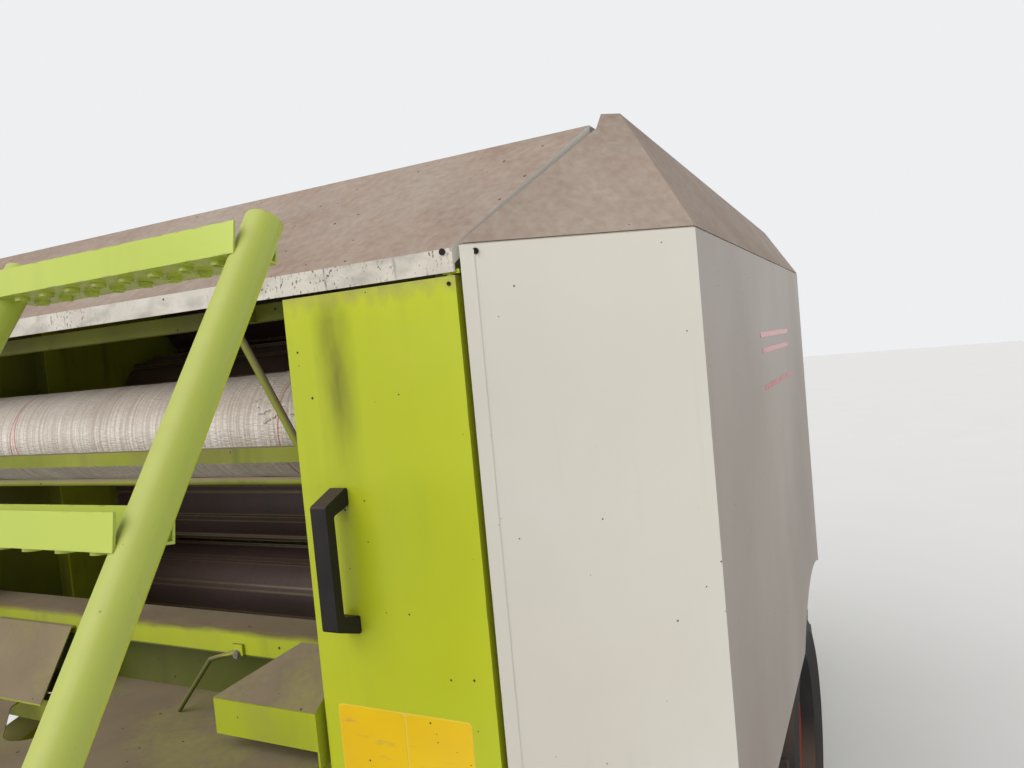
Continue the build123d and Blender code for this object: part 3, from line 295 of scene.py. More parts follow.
# Net box: a folded trough across the machine, open to the front, that the net roll lies in.
# It is welded to the walls in the same green, painted here in a very dark copy of it as painted
# shade, with its dust over it.
box_wear = {"on_top": 0.9, "all_over": 0.45, "runs": 0.7, "specks": 0.14, "shine": 0.6}
box_wear["dust_tone"] = olive_dust
box_shaded_green_paint = painted_steel("box_shaded_green_paint", deep_shade_green, shaded_green, **box_wear)
dress(box_shaded_green_paint, "net_box")

# Axle, gearbox and jack: square and cast steel in dark grey paint, thick with road dirt.
# The axle is bolted below the chassis, and the gearbox hangs between the drawbar's arms.
dark_grey = colour(0.075, 0.075, 0.078)
worn_grey = colour(0.12, 0.118, 0.112)
grey_wear = {"on_top": 0.85, "all_over": 0.45, "worn": 0.8, "runs": 0.3, "shine": 0.45}
grey_paint = painted_steel("grey_paint", dark_grey, worn_grey, **grey_wear)
dress(grey_paint, "axle", "gearbox", "jack_sleeve", "jack_leg")

# Drive shaft guard and door handles: black plastic with a fine grain from the mould.
# The guard doesn't turn with its shaft, and each handle is screwed to its door from behind.


def moulded_plastic(name, pigment, scuffed, on_top=0.45, rough=0.5):
    finish, tree, skin = new_finish(name)
    scuffs = mask_of(tree, rubbed_edges, reach=0.003, share=0.5)
    dust = mask_of(tree, settled_dust, on_top=on_top, all_over=0.12)
    base = laid_over(tree, dust, laid_over(tree, scuffs, pigment, scuffed), barn_dust)
    tree.links.new(base, skin.inputs["Base Color"])
    tree.links.new(between(tree, dust, 0.0, 0.6, rough, 0.85), skin.inputs["Roughness"])
    skin.inputs["Specular IOR Level"].default_value = 0.3
    bump(tree, skin, grain(tree, 900, 2), strength=0.25, distance=0.0004)
    return finish


black_plastic = moulded_plastic(
    "black_plastic", colour(0.012, 0.012, 0.013), colour(0.06, 0.058, 0.055)
)
handle_black = colour(0.010, 0.008, 0.008)
handle_grey = colour(0.035, 0.03, 0.028)
handle_plastic = moulded_plastic("handle_plastic", handle_black, handle_grey, 0.25, 0.62)
dress(black_plastic, "drive_shaft")
dress(handle_plastic, *both_sides("door_handle"))

# Chamber rollers, feed rotor and reel: steel that the crop polishes on every raised edge.
# Between the ribs it keeps a brown skin of dried juice, chaff and a thin purple rust.
roller_count = 15


def crop_worn_steel(name, skin_colour, tint, bright):
    finish, tree, skin = new_finish(name)
    blots = between(tree, grain(tree, 7, 7, (0.35, 1, 1)), 0.4, 0.66)
    base = laid_over(tree, blots, skin_colour, tint)
    rings = between(tree, grain(tree, 60, 4, (1, 0.06, 0.06)), 0.5, 0.66, 0.0, 0.45)
    base = laid_over(tree, rings, base, soot)
    # Rubbed edges take the bright colour: worn metal, and on the rollers also a painted highlight.
    edge = mask_of(tree, rubbed_edges, reach=0.008, share=1.0, evenness=0.55)
    base = laid_over(tree, edge, base, bright)
    dust = mask_of(tree, settled_dust, on_top=0.35, all_over=0.1)
    base = laid_over(tree, dust, base, barn_dust)
    tree.links.new(base, skin.inputs["Base Color"])
    tree.links.new(between(tree, edge, 0.0, 1.0, 0.15, 0.75), skin.inputs["Metallic"])
    tree.links.new(between(tree, edge, 0.0, 1.0, 0.55, 0.38), skin.inputs["Roughness"])
    bump(tree, skin, grain(tree, 120, 6, (0.3, 1, 1)), strength=0.35, distance=0.0015)
    return finish


juice_brown = colour(0.050, 0.028, 0.023)
purple_rust = colour(0.078, 0.043, 0.045)
# The rollers' raised edges turn gold: partly polished steel, partly a painted highlight along the
# ribs.
polish_and_highlight_gold = colour(0.48, 0.38, 0.19)
tine_dark = colour(0.05, 0.045, 0.04)
tine_brown = colour(0.09, 0.07, 0.05)
tine_bright = colour(0.32, 0.30, 0.26)
roller_steel = crop_worn_steel("roller_steel", juice_brown, purple_rust, polish_and_highlight_gold)
tine_steel = crop_worn_steel("tine_steel", tine_dark, tine_brown, tine_bright)
rollers = [f"chamber_roller_{number:02d}" for number in range(1, roller_count + 1)]
dress(roller_steel, *rollers)
dress(tine_steel, "feed_rotor", "pickup_reel")

# Bearing bolts: four plated hexagon bolts with washers hold each roller's bearing housing.
# They are screwed in from outside, and the feed rotor's housings have six smaller ones each.
hands = (("left", 1), ("right", -1))
housing_face = 0.630
bearing_circle = 0.044
rotor_circle = 0.051
rotor_y = 0.606
rotor_z = 0.640
surfaces = {}


def make_bolt_tree():
    """A bolt with its washer on each point, turned to face the way that its attribute says."""
    tree = bpy.data.node_groups.new("hex_bolts", "GeometryNodeTree")
    face = tree.interface
    face.new_socket("Places", in_out="INPUT", socket_type="NodeSocketGeometry")
    for label, value in (("Head Width", 0.017), ("Head Height", 0.009)):
        socket = face.new_socket(label, in_out="INPUT", socket_type="NodeSocketFloat")
        socket.default_value = value
    face.new_socket("Finish", in_out="INPUT", socket_type="NodeSocketMaterial")
    face.new_socket("Bolts", in_out="OUTPUT", socket_type="NodeSocketGeometry")
    given = tree.nodes.new("NodeGroupInput").outputs
    width, height = given["Head Width"], given["Head Height"]
    washer = (16, 0.68, 0.0, 0.1)
    head = (6, 0.577, 0.1, 0.9)
    chamfer = (12, 0.44, 0.9, 0.18)
    bolt = tree.nodes.new("GeometryNodeJoinGeometry")
    for sides, share, lift, depth in (washer, head, chamfer):
        radius = figure(tree, "MULTIPLY", width, share)
        tall = figure(tree, "MULTIPLY", height, depth)
        middle = figure(tree, "MULTIPLY", height, lift + depth / 2)
        drum = {"Vertices": sides, "Radius": radius, "Depth": tall}
        drum = place(tree, "GeometryNodeMeshCylinder", drum).outputs["Mesh"]
        offset = place(tree, "ShaderNodeCombineXYZ", {"Z": middle}).outputs[0]
        moved = {"Geometry": drum, "Translation": offset}
        moved = place(tree, "GeometryNodeTransform", moved).outputs[0]
        tree.links.new(moved, bolt.inputs[0])
    facing = {"Name": "facing"}
    facing = place(tree, "GeometryNodeInputNamedAttribute", facing, data_type="FLOAT_VECTOR")
    facing = next(out for out in facing.outputs if out.enabled and out.name == "Attribute")
    turn = place(tree, "FunctionNodeAlignRotationToVector", {"Vector": facing}, axis="Z").outputs[0]
    made = {"Points": given["Places"], "Instance": bolt.outputs[0], "Rotation": turn}
    made = place(tree, "GeometryNodeInstanceOnPoints", made).outputs[0]
    spin = place(tree, "FunctionNodeRandomValue", {"Max": 1.05, "Seed": 7}, data_type="FLOAT")
    spin = next(out for out in spin.outputs if out.enabled)
    spin = place(tree, "ShaderNodeCombineXYZ", {"Z": spin}).outputs[0]
    made = {"Instances": made, "Rotation": spin}
    made = place(tree, "GeometryNodeRotateInstances", made).outputs[0]
    made = place(tree, "GeometryNodeRealizeInstances", {"Geometry": made}).outputs[0]
    made = {"Geometry": made, "Material": given["Finish"]}
    made = place(tree, "GeometryNodeSetMaterial", made).outputs[0]
    tree.links.new(made, tree.nodes.new("NodeGroupOutput").inputs["Bolts"])
    return tree


bolt_tree = make_bolt_tree()


def touch(name, spot, way, reach=0.03, depth=0.08):
    """Where a CAD node's surface lies behind a spot, looking against the given way, or None."""
    if name not in surfaces:
        mesh, stand = nodes[name].data, nodes[name].matrix_world
        points = [stand @ vertex.co for vertex in mesh.vertices]
        faces = [tuple(face.vertices) for face in mesh.polygons]
        surfaces[name] = BVHTree.FromPolygons(points, faces)
    way = Vector(way)
    return surfaces[name].ray_cast(Vector(spot) + way * reach, -way, depth)[0]


def circle_x(x, y, z, radius, count, start=0.0):
    """Spots on a circle round an axle that runs across the machine, with the way out of it."""
    way = (1 if x > 0 else -1, 0, 0)
    spots = []
    for step in range(count):
        turn = start + 2 * math.pi * step / count
        spots.append(((x, y + radius * math.cos(turn), z + radius * math.sin(turn)), way))
    return spots


def bolted(name, spots, node, body, width=0.017, height=0.009):
    """One piece of bolts on a CAD node's surface, at each spot that has surface behind it."""
    found = [(touch(node, spot, way), way) for spot, way in spots]
    found = [(spot, way) for spot, way in found if spot]
    mesh = bpy.data.meshes.new(name)
    mesh.from_pydata([tuple(spot) for spot, _ in found], [], [])
    facing = mesh.attributes.new("facing", "FLOAT_VECTOR", "POINT")
    for item, (_, way) in zip(facing.data, found):
        item.vector = way
    piece = bpy.data.objects.new(name, mesh)
    bpy.context.scene.collection.objects.link(piece)
    grown = piece.modifiers.new("bolts", "NODES")
    grown.node_group = bolt_tree
    values = {"Head Width": width, "Head Height": height, "Finish": bolt_steel}
    for item in bolt_tree.interface.items_tree:
        if item.name in values:
            grown[item.identifier] = values[item.name]
    seen = piece.evaluated_get(bpy.context.evaluated_depsgraph_get())
    baked = bpy.data.meshes.new_from_object(seen)
    piece.modifiers.clear()
    piece.data = baked
    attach(piece, body)
    return piece


zinc_grey = colour(0.17, 0.155, 0.13)
bolt_rust = colour(0.13, 0.085, 0.055)
bolt_bright = colour(0.42, 0.41, 0.38)
bolt_steel = crop_worn_steel("bolt_steel", zinc_grey, bolt_rust, bolt_bright)
for side_name, side in hands:
    chamber_wall = f"chamber_wall_{side_name}"
    for wall, body in ((chamber_wall, "chassis"), ("tailgate_shell", "tailgate")):
        spots = []
        for roller in rollers:
            low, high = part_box(roller)
            y, z = (low[1] + high[1]) / 2, (low[2] + high[2]) / 2
            circle = circle_x(side * housing_face, y, z, bearing_circle, 4, math.pi / 4)
            for spot, way in circle:
                met = touch(wall, spot, way)
                if met and abs(abs(met.x) - housing_face) < 0.002:
                    spots.append((spot, way))
        bolted(f"bearing_bolts_{body}_{side_name}", spots, wall, body)
    spots = circle_x(side * housing_face, rotor_y, rotor_z, rotor_circle, 6)
    bolted(f"rotor_bolts_{side_name}", spots, chamber_wall, "chassis", 0.012, 0.006)

# Net roll: about three kilometres of knitted plastic net, wound on a card tube in the net box.
# It lies under the hood, its threads run round the roll, and its outer turn is torn and grey.
roll_y = 0.094
roll_z = 1.615
roll_radius = 0.1027
roll_half = 0.612
roll_rings = 420
roll_sides = 150
lump_height = 0.0012
cord_height = 0.0007
end_steps = ((0.0, 0.96), (0.004, 0.55), (0.004, 0.30))
net_cream = colour(0.72, 0.66, 0.58)
net_pale = colour(0.80, 0.75, 0.68)
net_shade = colour(0.50, 0.43, 0.36)
net_tie = colour(0.42, 0.35, 0.29)
net_red = colour(0.42, 0.035, 0.05)
red_threads = ((-0.335, 0.12), (-0.318, -0.05), (0.462, 0.08))


def wound_net():
    """The roll's surface as rings of points, a little uneven from turn to turn."""
    rows = []
    for ring in range(roll_rings + 1):
        x = -roll_half + 2 * roll_half * ring / roll_rings
        row = []
        for side in range(roll_sides):
            angle = 2 * math.pi * side / roll_sides
            lumps = noise.noise((x * 9, math.cos(angle) * 1.4, math.sin(angle) * 1.4))
            cords = noise.noise((x * 190, angle * 0.6, 3.0))
            radius = roll_radius - lump_height + lump_height * lumps + cord_height * cords
            row.append((x, roll_y + radius * math.cos(angle), roll_z + radius * math.sin(angle)))
        rows.append(row)
    for end, inward in ((0, 1), (-1, -1)):
        x = rows[end][0][0]
        for depth, share in end_steps:
            inner = []
            for _, y, z in rows[end]:
                y, z = roll_y + (y - roll_y) * share, roll_z + (z - roll_z) * share
                inner.append((x + depth * inward, y, z))
            rows.insert(0 if end == 0 else len(rows), inner)
    return rows


def skin_over(rows):
    """Faces between rings of points, with a cap at each end."""
    sides = len(rows[0])
    points = [point for row in rows for point in row]
    faces = []
    for ring in range(len(rows) - 1):
        low, high = ring * sides, (ring + 1) * sides
        for side in range(sides):
            step = (side + 1) % sides
            faces.append((low + side, low + step, high + step, high + side))
    faces.append(tuple(reversed(range(sides))))
    faces.append(tuple(range((len(rows) - 1) * sides, len(rows) * sides)))
    return points, faces


def new_piece(name, points, faces, finish, body, smooth=True):
    mesh = bpy.data.meshes.new(name)
    mesh.from_pydata([tuple(point) for point in points], [], faces)
    work = bmesh.new()
    work.from_mesh(mesh)
    bmesh.ops.remove_doubles(work, verts=work.verts, dist=1e-6)
    bmesh.ops.recalc_face_normals(work, faces=work.faces)
    work.to_mesh(mesh)
    work.free()
    mesh.materials.append(finish)
    for face in mesh.polygons:
        face.use_smooth = smooth
    piece = bpy.data.objects.new(name, mesh)
    bpy.context.scene.collection.objects.link(piece)
    if body:
        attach(piece, body)
    return piece


def net_threads():
    """Hoops round the roll, ties between them, lighter and darker bands, and red threads."""
    finish, tree, skin = new_finish("net_wrap")
    hoops = between(tree, grain(tree, 210, 3, (1, 0.025, 0.025)), 0.38, 0.62)
    ties = between(tree, grain(tree, 330, 2, (0.25, 1, 1)), 0.4, 0.62)
    bands = between(tree, grain(tree, 16, 4, (1, 0.05, 0.05)), 0.35, 0.65)
    base = laid_over(tree, bands, net_cream, net_pale)
    base = laid_over(tree, hoops, net_shade, base)
    base = laid_over(tree, overlap(tree, ties, 0.35), base, net_tie)
    where = object_place(tree)
    beside = figure(tree, "SUBTRACT", where["Z"], roll_z)
    for red_place, slope in red_threads:
        wander = figure(tree, "MULTIPLY_ADD", beside, slope, red_place)
        apart = figure(tree, "ABSOLUTE", figure(tree, "SUBTRACT", where["X"], wander))
        base = laid_over(tree, between(tree, apart, 0.0026, 0.0012, 0.0, 0.75), base, net_red)
    dust = mask_of(tree, settled_dust, on_top=0.45, all_over=0.3)
    base = laid_over(tree, dust, base, barn_dust)
    tree.links.new(base, skin.inputs["Base Color"])
    skin.inputs["Roughness"].default_value = 0.62
    skin.inputs["Sheen Weight"].default_value = 0.15
    bump(tree, skin, figure(tree, "ADD", hoops, ties), strength=0.6, distance=0.0012)
    return finish


net_wrap = net_threads()
net_roll = new_piece("net_roll_wound", *skin_over(wound_net()), net_wrap, "net_roll")
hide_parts("net_roll")

# Torn turn: the net's loose end, which lies on the roll's left end with a ragged edge.
# It is the same knitted plastic, two threads thick, and keeps to the curve it was wound in.
torn_rings = (345, 412)
torn_sides = (20, 72)
torn_layers = (0.0003, 0.0016)
torn_swell = 0.0012


def torn_turn():
    """Two layers of faces over the roll's surface, left out where the edge is ragged."""
    rows = wound_net()[len(end_steps):-len(end_steps)]
    kept = {}
    points, faces = [], []
    for ring in range(*torn_rings):
        for side in range(*torn_sides):
            along = min(ring - torn_rings[0], torn_rings[1] - ring)
            inward = min(along, side - torn_sides[0], torn_sides[1] - side)
            if inward < 5 + 9 * noise.noise((ring * 0.13, side * 0.35, 8.0)):
                continue
            for lift in torn_layers:
                corners = []
                for at in ((ring, side), (ring + 1, side), (ring + 1, side + 1), (ring, side + 1)):
                    if (at, lift) not in kept:
                        x, y, z = rows[at[0]][at[1] % roll_sides]
                        swell = torn_swell * max(noise.noise((x * 50, y * 60, z * 60)), 0)
                        grown = 1 + (lift + swell) / roll_radius
                        kept[at, lift] = len(points)
                        y, z = roll_y + (y - roll_y) * grown, roll_z + (z - roll_z) * grown
                        points.append((x, y, z))
                    corners.append(kept[at, lift])
                faces.append(tuple(corners))
    return points, walled(faces)


def walled(faces):
    """Two layers of faces, given in turn, with a wall along the free edges between them."""
    under, over = faces[0::2], faces[1::2]
    pairs = {}
    for low_face, high_face in zip(under, over):
        for step in range(4):
            low = (low_face[step], low_face[(step + 1) % 4])
            high = (high_face[step], high_face[(step + 1) % 4])
            if low[::-1] in pairs:
                del pairs[low[::-1]]
            else:
                pairs[low] = high
    walls = [(low[1], low[0], high[0], high[1]) for low, high in pairs.items()]
    return [face[::-1] for face in under] + over + walls


torn = new_piece("net_torn_turn", *torn_turn(), net_wrap, "net_roll")

# Side covers and roof: folded sheet, sprayed white over grey primer and hung on hinges.
# Their tops carry a brown coat of dust, and a cloudy brown painted shade and painted reflection
# darkens the side panels.
white = colour(0.69, 0.66, 0.59)
cream = colour(0.65, 0.61, 0.53)
primer_grey = colour(0.16, 0.14, 0.11)
side_shade_brown = colour(0.15, 0.085, 0.062)


# Painted shade and painted reflection: faces that look to either side are clouded brown.
def side_shade_and_reflection(tree, base):
    side = figure(tree, "ABSOLUTE", facing_of(tree, "X"))
    side = between(tree, side, 0.93, 0.99)
    cloudy = between(tree, grain(tree, 1.7, 7, (1, 1, 0.7)), 0.3, 0.75, 0.48, 0.72)
    return laid_over(tree, overlap(tree, side, cloudy), base, side_shade_brown)


on_white = {"on_top": 0.95, "bare": primer_grey}
panel_wear = {"all_over": 0.03, "worn": 0.25, "runs": 0.12, "specks": 0.08, "shine": 0.5}
white_paint = painted_steel(
    "white_paint", white, cream, marks=side_shade_and_reflection, **on_white, **panel_wear
)
dress(white_paint, "roof_deck", *both_sides("side_cover", "cover_roof"))
guard_wear = {"all_over": 0.25, "worn": 0.4, "runs": 0.3, "shine": 0.4}
guard_paint = painted_steel("guard_paint", white, cream, **on_white, **guard_wear)
dress(guard_paint, "tailgate_guards")

# Hood: one folded white sheet over the net box, hinged behind, with a lip along its front.
# Water stands and drips on the lip, which leaves black specks, short runs and grey smears.
mould_black = colour(0.07, 0.055, 0.045)


def lip_mould(tree, base):
    lip = between(tree, facing_of(tree, "Y"), -0.75, -0.95)
    dashes = between(tree, grain(tree, 210, 5, (1, 1, 0.7)), 0.58, 0.66, 0.0, 0.9)
    drips = between(tree, grain(tree, 75, 3, (1, 1, 0.16)), 0.62, 0.70, 0.0, 0.8)
    smears = between(tree, grain(tree, 13, 8, (1, 1, 2.2)), 0.50, 0.70, 0.0, 0.4)
    groups = between(tree, grain(tree, 6.5, 4), 0.38, 0.60)
    dashes = mask_figure(tree, "MAXIMUM", dashes, drips)
    dashes = overlap(tree, dashes, groups)
    mask = overlap(tree, lip, mask_figure(tree, "MAXIMUM", dashes, smears))
    film = between(tree, grain(tree, 9, 8), 0.3, 0.7, 0.05, 0.35)
    base = laid_over(tree, overlap(tree, lip, film), base, barn_dust)
    return laid_over(tree, mask, base, mould_black)


hood_wear = {"all_over": 0.08, "worn": 0.35, "runs": 0.12, "specks": 0.13, "shine": 0.3}
hood_paint = painted_steel("hood_paint", white, cream, marks=lip_mould, **on_white, **hood_wear)
dress(hood_paint, "hood")

# Front doors: pans of thin steel pressed on four edges, in the same green as the chassis.
# A soft dark olive stripe runs down from the top of each, and dust clings along its upper edge.
mark_x = 0.677
mark_half = 0.044
mark_top = 1.81
mark_bottom = 1.47
door_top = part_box("front_door_left")[1][2]
door_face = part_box("front_door_left")[0][1]
stripe_dark_olive = colour(0.10, 0.09, 0.012)


# A soft dark olive stripe down each door, strongest towards its top.
def door_dark_stripe(tree, base):
    where = object_place(tree)
    across = figure(tree, "SUBTRACT", figure(tree, "ABSOLUTE", where["X"]), mark_x)
    stripe = between(tree, figure(tree, "ABSOLUTE", across), mark_half, 0.0)
    length = between(tree, where["Z"], mark_bottom, mark_top - 0.13)
    top = between(tree, where["Z"], mark_top + 0.03, mark_top - 0.02)
    cloud = between(tree, grain(tree, 26, 6, (1, 1, 0.3)), 0.3, 0.7, 0.35, 1.0)
    mask = overlap(tree, stripe, length)
    mask = overlap(tree, mask, overlap(tree, top, cloud))
    base = laid_over(tree, overlap(tree, mask, 0.85), base, stripe_dark_olive)
    smudge = between(tree, grain(tree, 45, 7, (1, 1, 0.6)), 0.35, 0.65, -0.012, 0.006)
    smudge = figure(tree, "ADD", where["Z"], smudge)
    smudge = between(tree, smudge, door_top - 0.03, door_top, 0.0, 0.45)
    return laid_over(tree, smudge, base, barn_dust)


door_wear = {"on_top": 0.7, "all_over": 0.0, "runs": 0.15, "specks": 0.13, "shine": 0.3}
door_paint = painted_steel("door_paint", green, pale_green, marks=door_dark_stripe, **door_wear)
dress(door_paint, *both_sides("front_door"))

# Ladder: round steel tube with treads of punched sheet, welded and sprayed green; its paler, less
# saturated green is painted light.
# It folds on two pins at the platform's edge, and feet and hands keep it nearly clean.
lit_ladder_green = colour(0.42, 0.50, 0.07)
lit_ladder_pale = colour(0.47, 0.55, 0.10)
ladder_wear = {"on_top": 0.3, "all_over": 0.05, "worn": 0.7, "runs": 0.1}
ladder_wear.update({"specks": 0.07, "shine": 0.26})
ladder_paint = painted_steel("ladder_paint", lit_ladder_green, lit_ladder_pale, **ladder_wear)
dress(ladder_paint, "ladder")

# Tailgate and pick-up frame: ribbed and folded sheet in the same green as the chassis.
# The tailgate hangs on two pivots at the top, and the pick-up swings about the feed rotor.
dress(green_paint, "tailgate_shell", "wind_guard", "guard_arms")
dress(green_paint, "pickup_sides", "pickup_arms", "pickup_tube")

# Sign foils: two plain yellow fields low on each door, on one backing of a paler yellow.
# They are cut from plastic film with round corners and pressed on the paint.
foil_edges = (0.612, 0.7415, 0.862)
foil_top = 1.172
foil_bottom = 1.03
foil_corner = 0.007
foil_thickness = 0.0005
foil_border = 0.0016
corner_steps = 4


def rounded_plate(low, high, corner, back, front, upright_axis="y"):
    """A thin plate with rounded corners between two faces, as points and faces."""
    ring = []
    corners = ((high[0], high[1]), (low[0], high[1]), (low[0], low[1]), (high[0], low[1]))
    for number, (x, z) in enumerate(corners):
        middle_x = x - corner if x == high[0] else x + corner
        middle_z = z - corner if z == high[1] else z + corner
        for step in range(corner_steps + 1):
            angle = math.radians(90 * (number + step / corner_steps))
            ring.append((middle_x + corner * math.cos(angle), middle_z + corner * math.sin(angle)))
    points = []
    for depth in (back, front):
        for across, up in ring:
            points.append((across, depth, up) if upright_axis == "y" else (depth, across, up))
    count = len(ring)
    faces = [tuple(range(count)), tuple(range(count, 2 * count))]
    for step in range(count):
        after = (step + 1) % count
        faces.append((step, after, count + after, count + step))
    return points, faces


def stacked(*solids):
    """Several sets of points and faces as one."""
    points, faces = [], []
    for more_points, more_faces in solids:
        faces += [tuple(index + len(points) for index in face) for face in more_faces]
        points += list(more_points)
    return points, faces


def printed_foil(name, tone, faded):
    finish, tree, skin = new_finish(name)
    base = laid_over(tree, between(tree, grain(tree, 9, 6), 0.35, 0.7), tone, faded)
    base = laid_over(tree, mask_of(tree, fly_specks, spread=90.0, size=0.2), base, soot)
    scuffs = between(tree, grain(tree, 60, 7, (0.2, 1, 1)), 0.62, 0.72, 0.0, 0.5)
    base = laid_over(tree, scuffs, base, barn_dust)
    tree.links.new(base, skin.inputs["Base Color"])
    tree.links.new(between(tree, scuffs, 0.0, 0.5, 0.3, 0.7), skin.inputs["Roughness"])
    return finish


yellow_foil = printed_foil("yellow_foil", colour(0.82, 0.53, 0.008), colour(0.78, 0.48, 0.012))
pale_yellow_foil = printed_foil(
    "pale_yellow_foil", colour(0.80, 0.60, 0.07), colour(0.74, 0.54, 0.08)
)
backing_face = door_face - foil_thickness
field_face = backing_face - foil_thickness
for side_name, side in hands:
    body = f"front_door_{side_name}"
    edges = sorted(side * edge for edge in foil_edges)
    low, high = (edges[0], foil_bottom), (edges[-1], foil_top)
    backing = rounded_plate(low, high, foil_corner, backing_face, door_face)
    new_piece(f"sign_backing_{side_name}", *backing, pale_yellow_foil, body, smooth=False)
    fields = []
    for inner, outer in zip(edges, edges[1:]):
        low = (inner + foil_border, foil_bottom + foil_border)
        high = (outer - foil_border, foil_top - foil_border)
        fields.append(rounded_plate(low, high, foil_corner, field_face, backing_face))
    new_piece(f"sign_fields_{side_name}", *stacked(*fields), yellow_foil, body, smooth=False)

# Side stripes: three thin plain red foils high on each side panel, one above the other.
# They are cut from plastic film and pressed on the paint, with their ends cut square.
stripe_rows = ((0.657, 1.157, 1.702), (0.680, 1.150, 1.667), (0.680, 1.200, 1.586))
stripe_height = 0.012
stripe_corner = 0.0006
side_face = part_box("side_cover_left")[1][0]
red_foil = printed_foil("red_foil", colour(0.45, 0.022, 0.016), colour(0.40, 0.05, 0.04))
for side_name, side in hands:
    back, front = side * side_face, side * (side_face + foil_thickness)
    body = f"side_cover_{side_name}"
    stripes = []
    for front_y, rear_y, height in stripe_rows:
        low = (front_y, height - stripe_height / 2)
        high = (rear_y, height + stripe_height / 2)
        stripes.append(rounded_plate(low, high, stripe_corner, back, front, "x"))
    stripes = new_piece(
        f"side_stripes_{side_name}", *stacked(*stripes), red_foil, body, smooth=False
    )

# Corner holes: the folded corners of hood and side covers are drilled before folding.
# Small round holes are left there, and one more in each door's top corner; each is drawn as a black
# disc, painted shade for the dark inside of the hole.
hole_spots = {"hood": (0.889, 1.868), "cover": (0.936, 1.864), "door": (0.895, 1.822)}
hole_radii = {"hood": 0.005, "cover": 0.0045, "door": 0.003}
hole_sunk = 0.002
hole_length = 0.003
before_front = -0.11


def turned(start, way, profile, sides=32):
    """A solid turned about an axle: its profile is pairs of distance along it and radius."""
    way = Vector(way).normalized()
    across = way.orthogonal().normalized()
    beside = way.cross(across)
    rows = []
    for along, radius in profile:
        row = []
        for step in range(sides):
            turn = 2 * math.pi * step / sides
            out = across * math.cos(turn) + beside * math.sin(turn)
            row.append(Vector(start) + way * along + out * radius)
        rows.append(row)
    return skin_over(rows)


hole_shade_black = moulded_plastic(
    "hole_shade_black", colour(0.006, 0.005, 0.005), colour(0.02, 0.018, 0.015), on_top=0.2, rough=0.9
)
for side_name, side in hands:
    carriers = {"hood": "hood"}
    carriers["cover"] = f"side_cover_{side_name}"
    carriers["door"] = f"front_door_{side_name}"
    for place_name, carrier in carriers.items():
        x, z = hole_spots[place_name]
        radius = hole_radii[place_name]
        met = touch(carrier, (side * x, before_front, z), (0, -1, 0), reach=0.1, depth=0.3)
        if met:
            start = met - Vector((0, hole_sunk, 0))
            solid = turned(start, (0, 1, 0), ((0.0, radius), (hole_length, radius)), 16)
            name = f"corner_hole_{place_name}_{side_name}"
            new_piece(name, *solid, hole_shade_black, carrier, smooth=False)

# Corner hems: the side cover's sheet is folded back double along the corner beside the door.
# The fold is a strip twenty millimetres wide that stands a little proud of the slanted panel.
hem_start = 0.001
hem_width = 0.021
hem_rise = 0.0011
hem_sunk = -0.0006
hem_levels = (0.868, 1.866)
corner_start = (0.9162, -0.0938)
corner_end = (1.2088, 0.0960)
panel_length = math.hypot(corner_end[0] - corner_start[0], corner_end[1] - corner_start[1])
along_x = (corner_end[0] - corner_start[0]) / panel_length
along_y = (corner_end[1] - corner_start[1]) / panel_length


def hem(side):
    edges = ((hem_start, hem_sunk), (hem_start, hem_rise))
    edges += ((hem_width, hem_rise), (hem_width, hem_sunk))
    points = []
    for height in hem_levels:
        for along, rise in edges:
            x = corner_start[0] + along_x * along + along_y * rise
            y = corner_start[1] + along_y * along - along_x * rise
            points.append((side * x, y, height))
    faces = [(0, 1, 2, 3), (4, 5, 6, 7)]
    for step in range(4):
        after = (step + 1) % 4
        faces.append((step, after, 4 + after, 4 + step))
    return points, faces


for side_name, side in hands:
    body = f"side_cover_{side_name}"
    strip = new_piece(f"corner_hem_{side_name}", *hem(side), white_paint, body, smooth=False)

# Hub caps: pressed and plated steel, knocked into each wheel's hub over the bearing nut.
# The crop and the road have dulled them, and dust lies on what faces up.
wheel_height = 0.435
wheel_y = 1.366
cap_start = 1.051
cap_profile = ((-0.002, 0.055), (0.012, 0.055), (0.018, 0.050), (0.021, 0.038))
for side_name, side in hands:
    solid = turned((side * cap_start, wheel_y, wheel_height), (side, 0, 0), cap_profile, 40)
    cap = new_piece(f"hub_cap_{side_name}", *solid, bolt_steel, f"wheel_{side_name}")

# Gearbox bolts: six on the top cover and a ring on each side bearing, all into cast iron.
# They are plain hexagon bolts with washers, as grey and rusty as those of the rollers.
gearbox_top = 1.0
gearbox_side = 0.12
gearbox_y = 0.056
gearbox_z = 0.905
cover_columns = (-0.095, 0, 0.095)
cover_rows = (-0.052, 0.164)
spots = [((x, y, gearbox_top), (0, 0, 1)) for x in cover_columns for y in cover_rows]
for side in (1, -1):
    spots += circle_x(side * gearbox_side, gearbox_y, gearbox_z, 0.07, 6, 0.3)
bolted("gearbox_bolts", spots, "gearbox", "chassis")

# Drawbar bolts: the hitch eye is bolted through the nose so that its height can be changed.
# Three large bolts stand on each side of the eye's plate, each with its washer.
nose_top = 0.69
nose_columns = (-0.085, 0.085)
nose_rows = (-1.93, -1.85, -1.77)
spots = [((x, y, nose_top), (0, 0, 1)) for x in nose_columns for y in nose_rows]
bolted("drawbar_bolts", spots, "drawbar", "chassis", width=0.024, height=0.013)

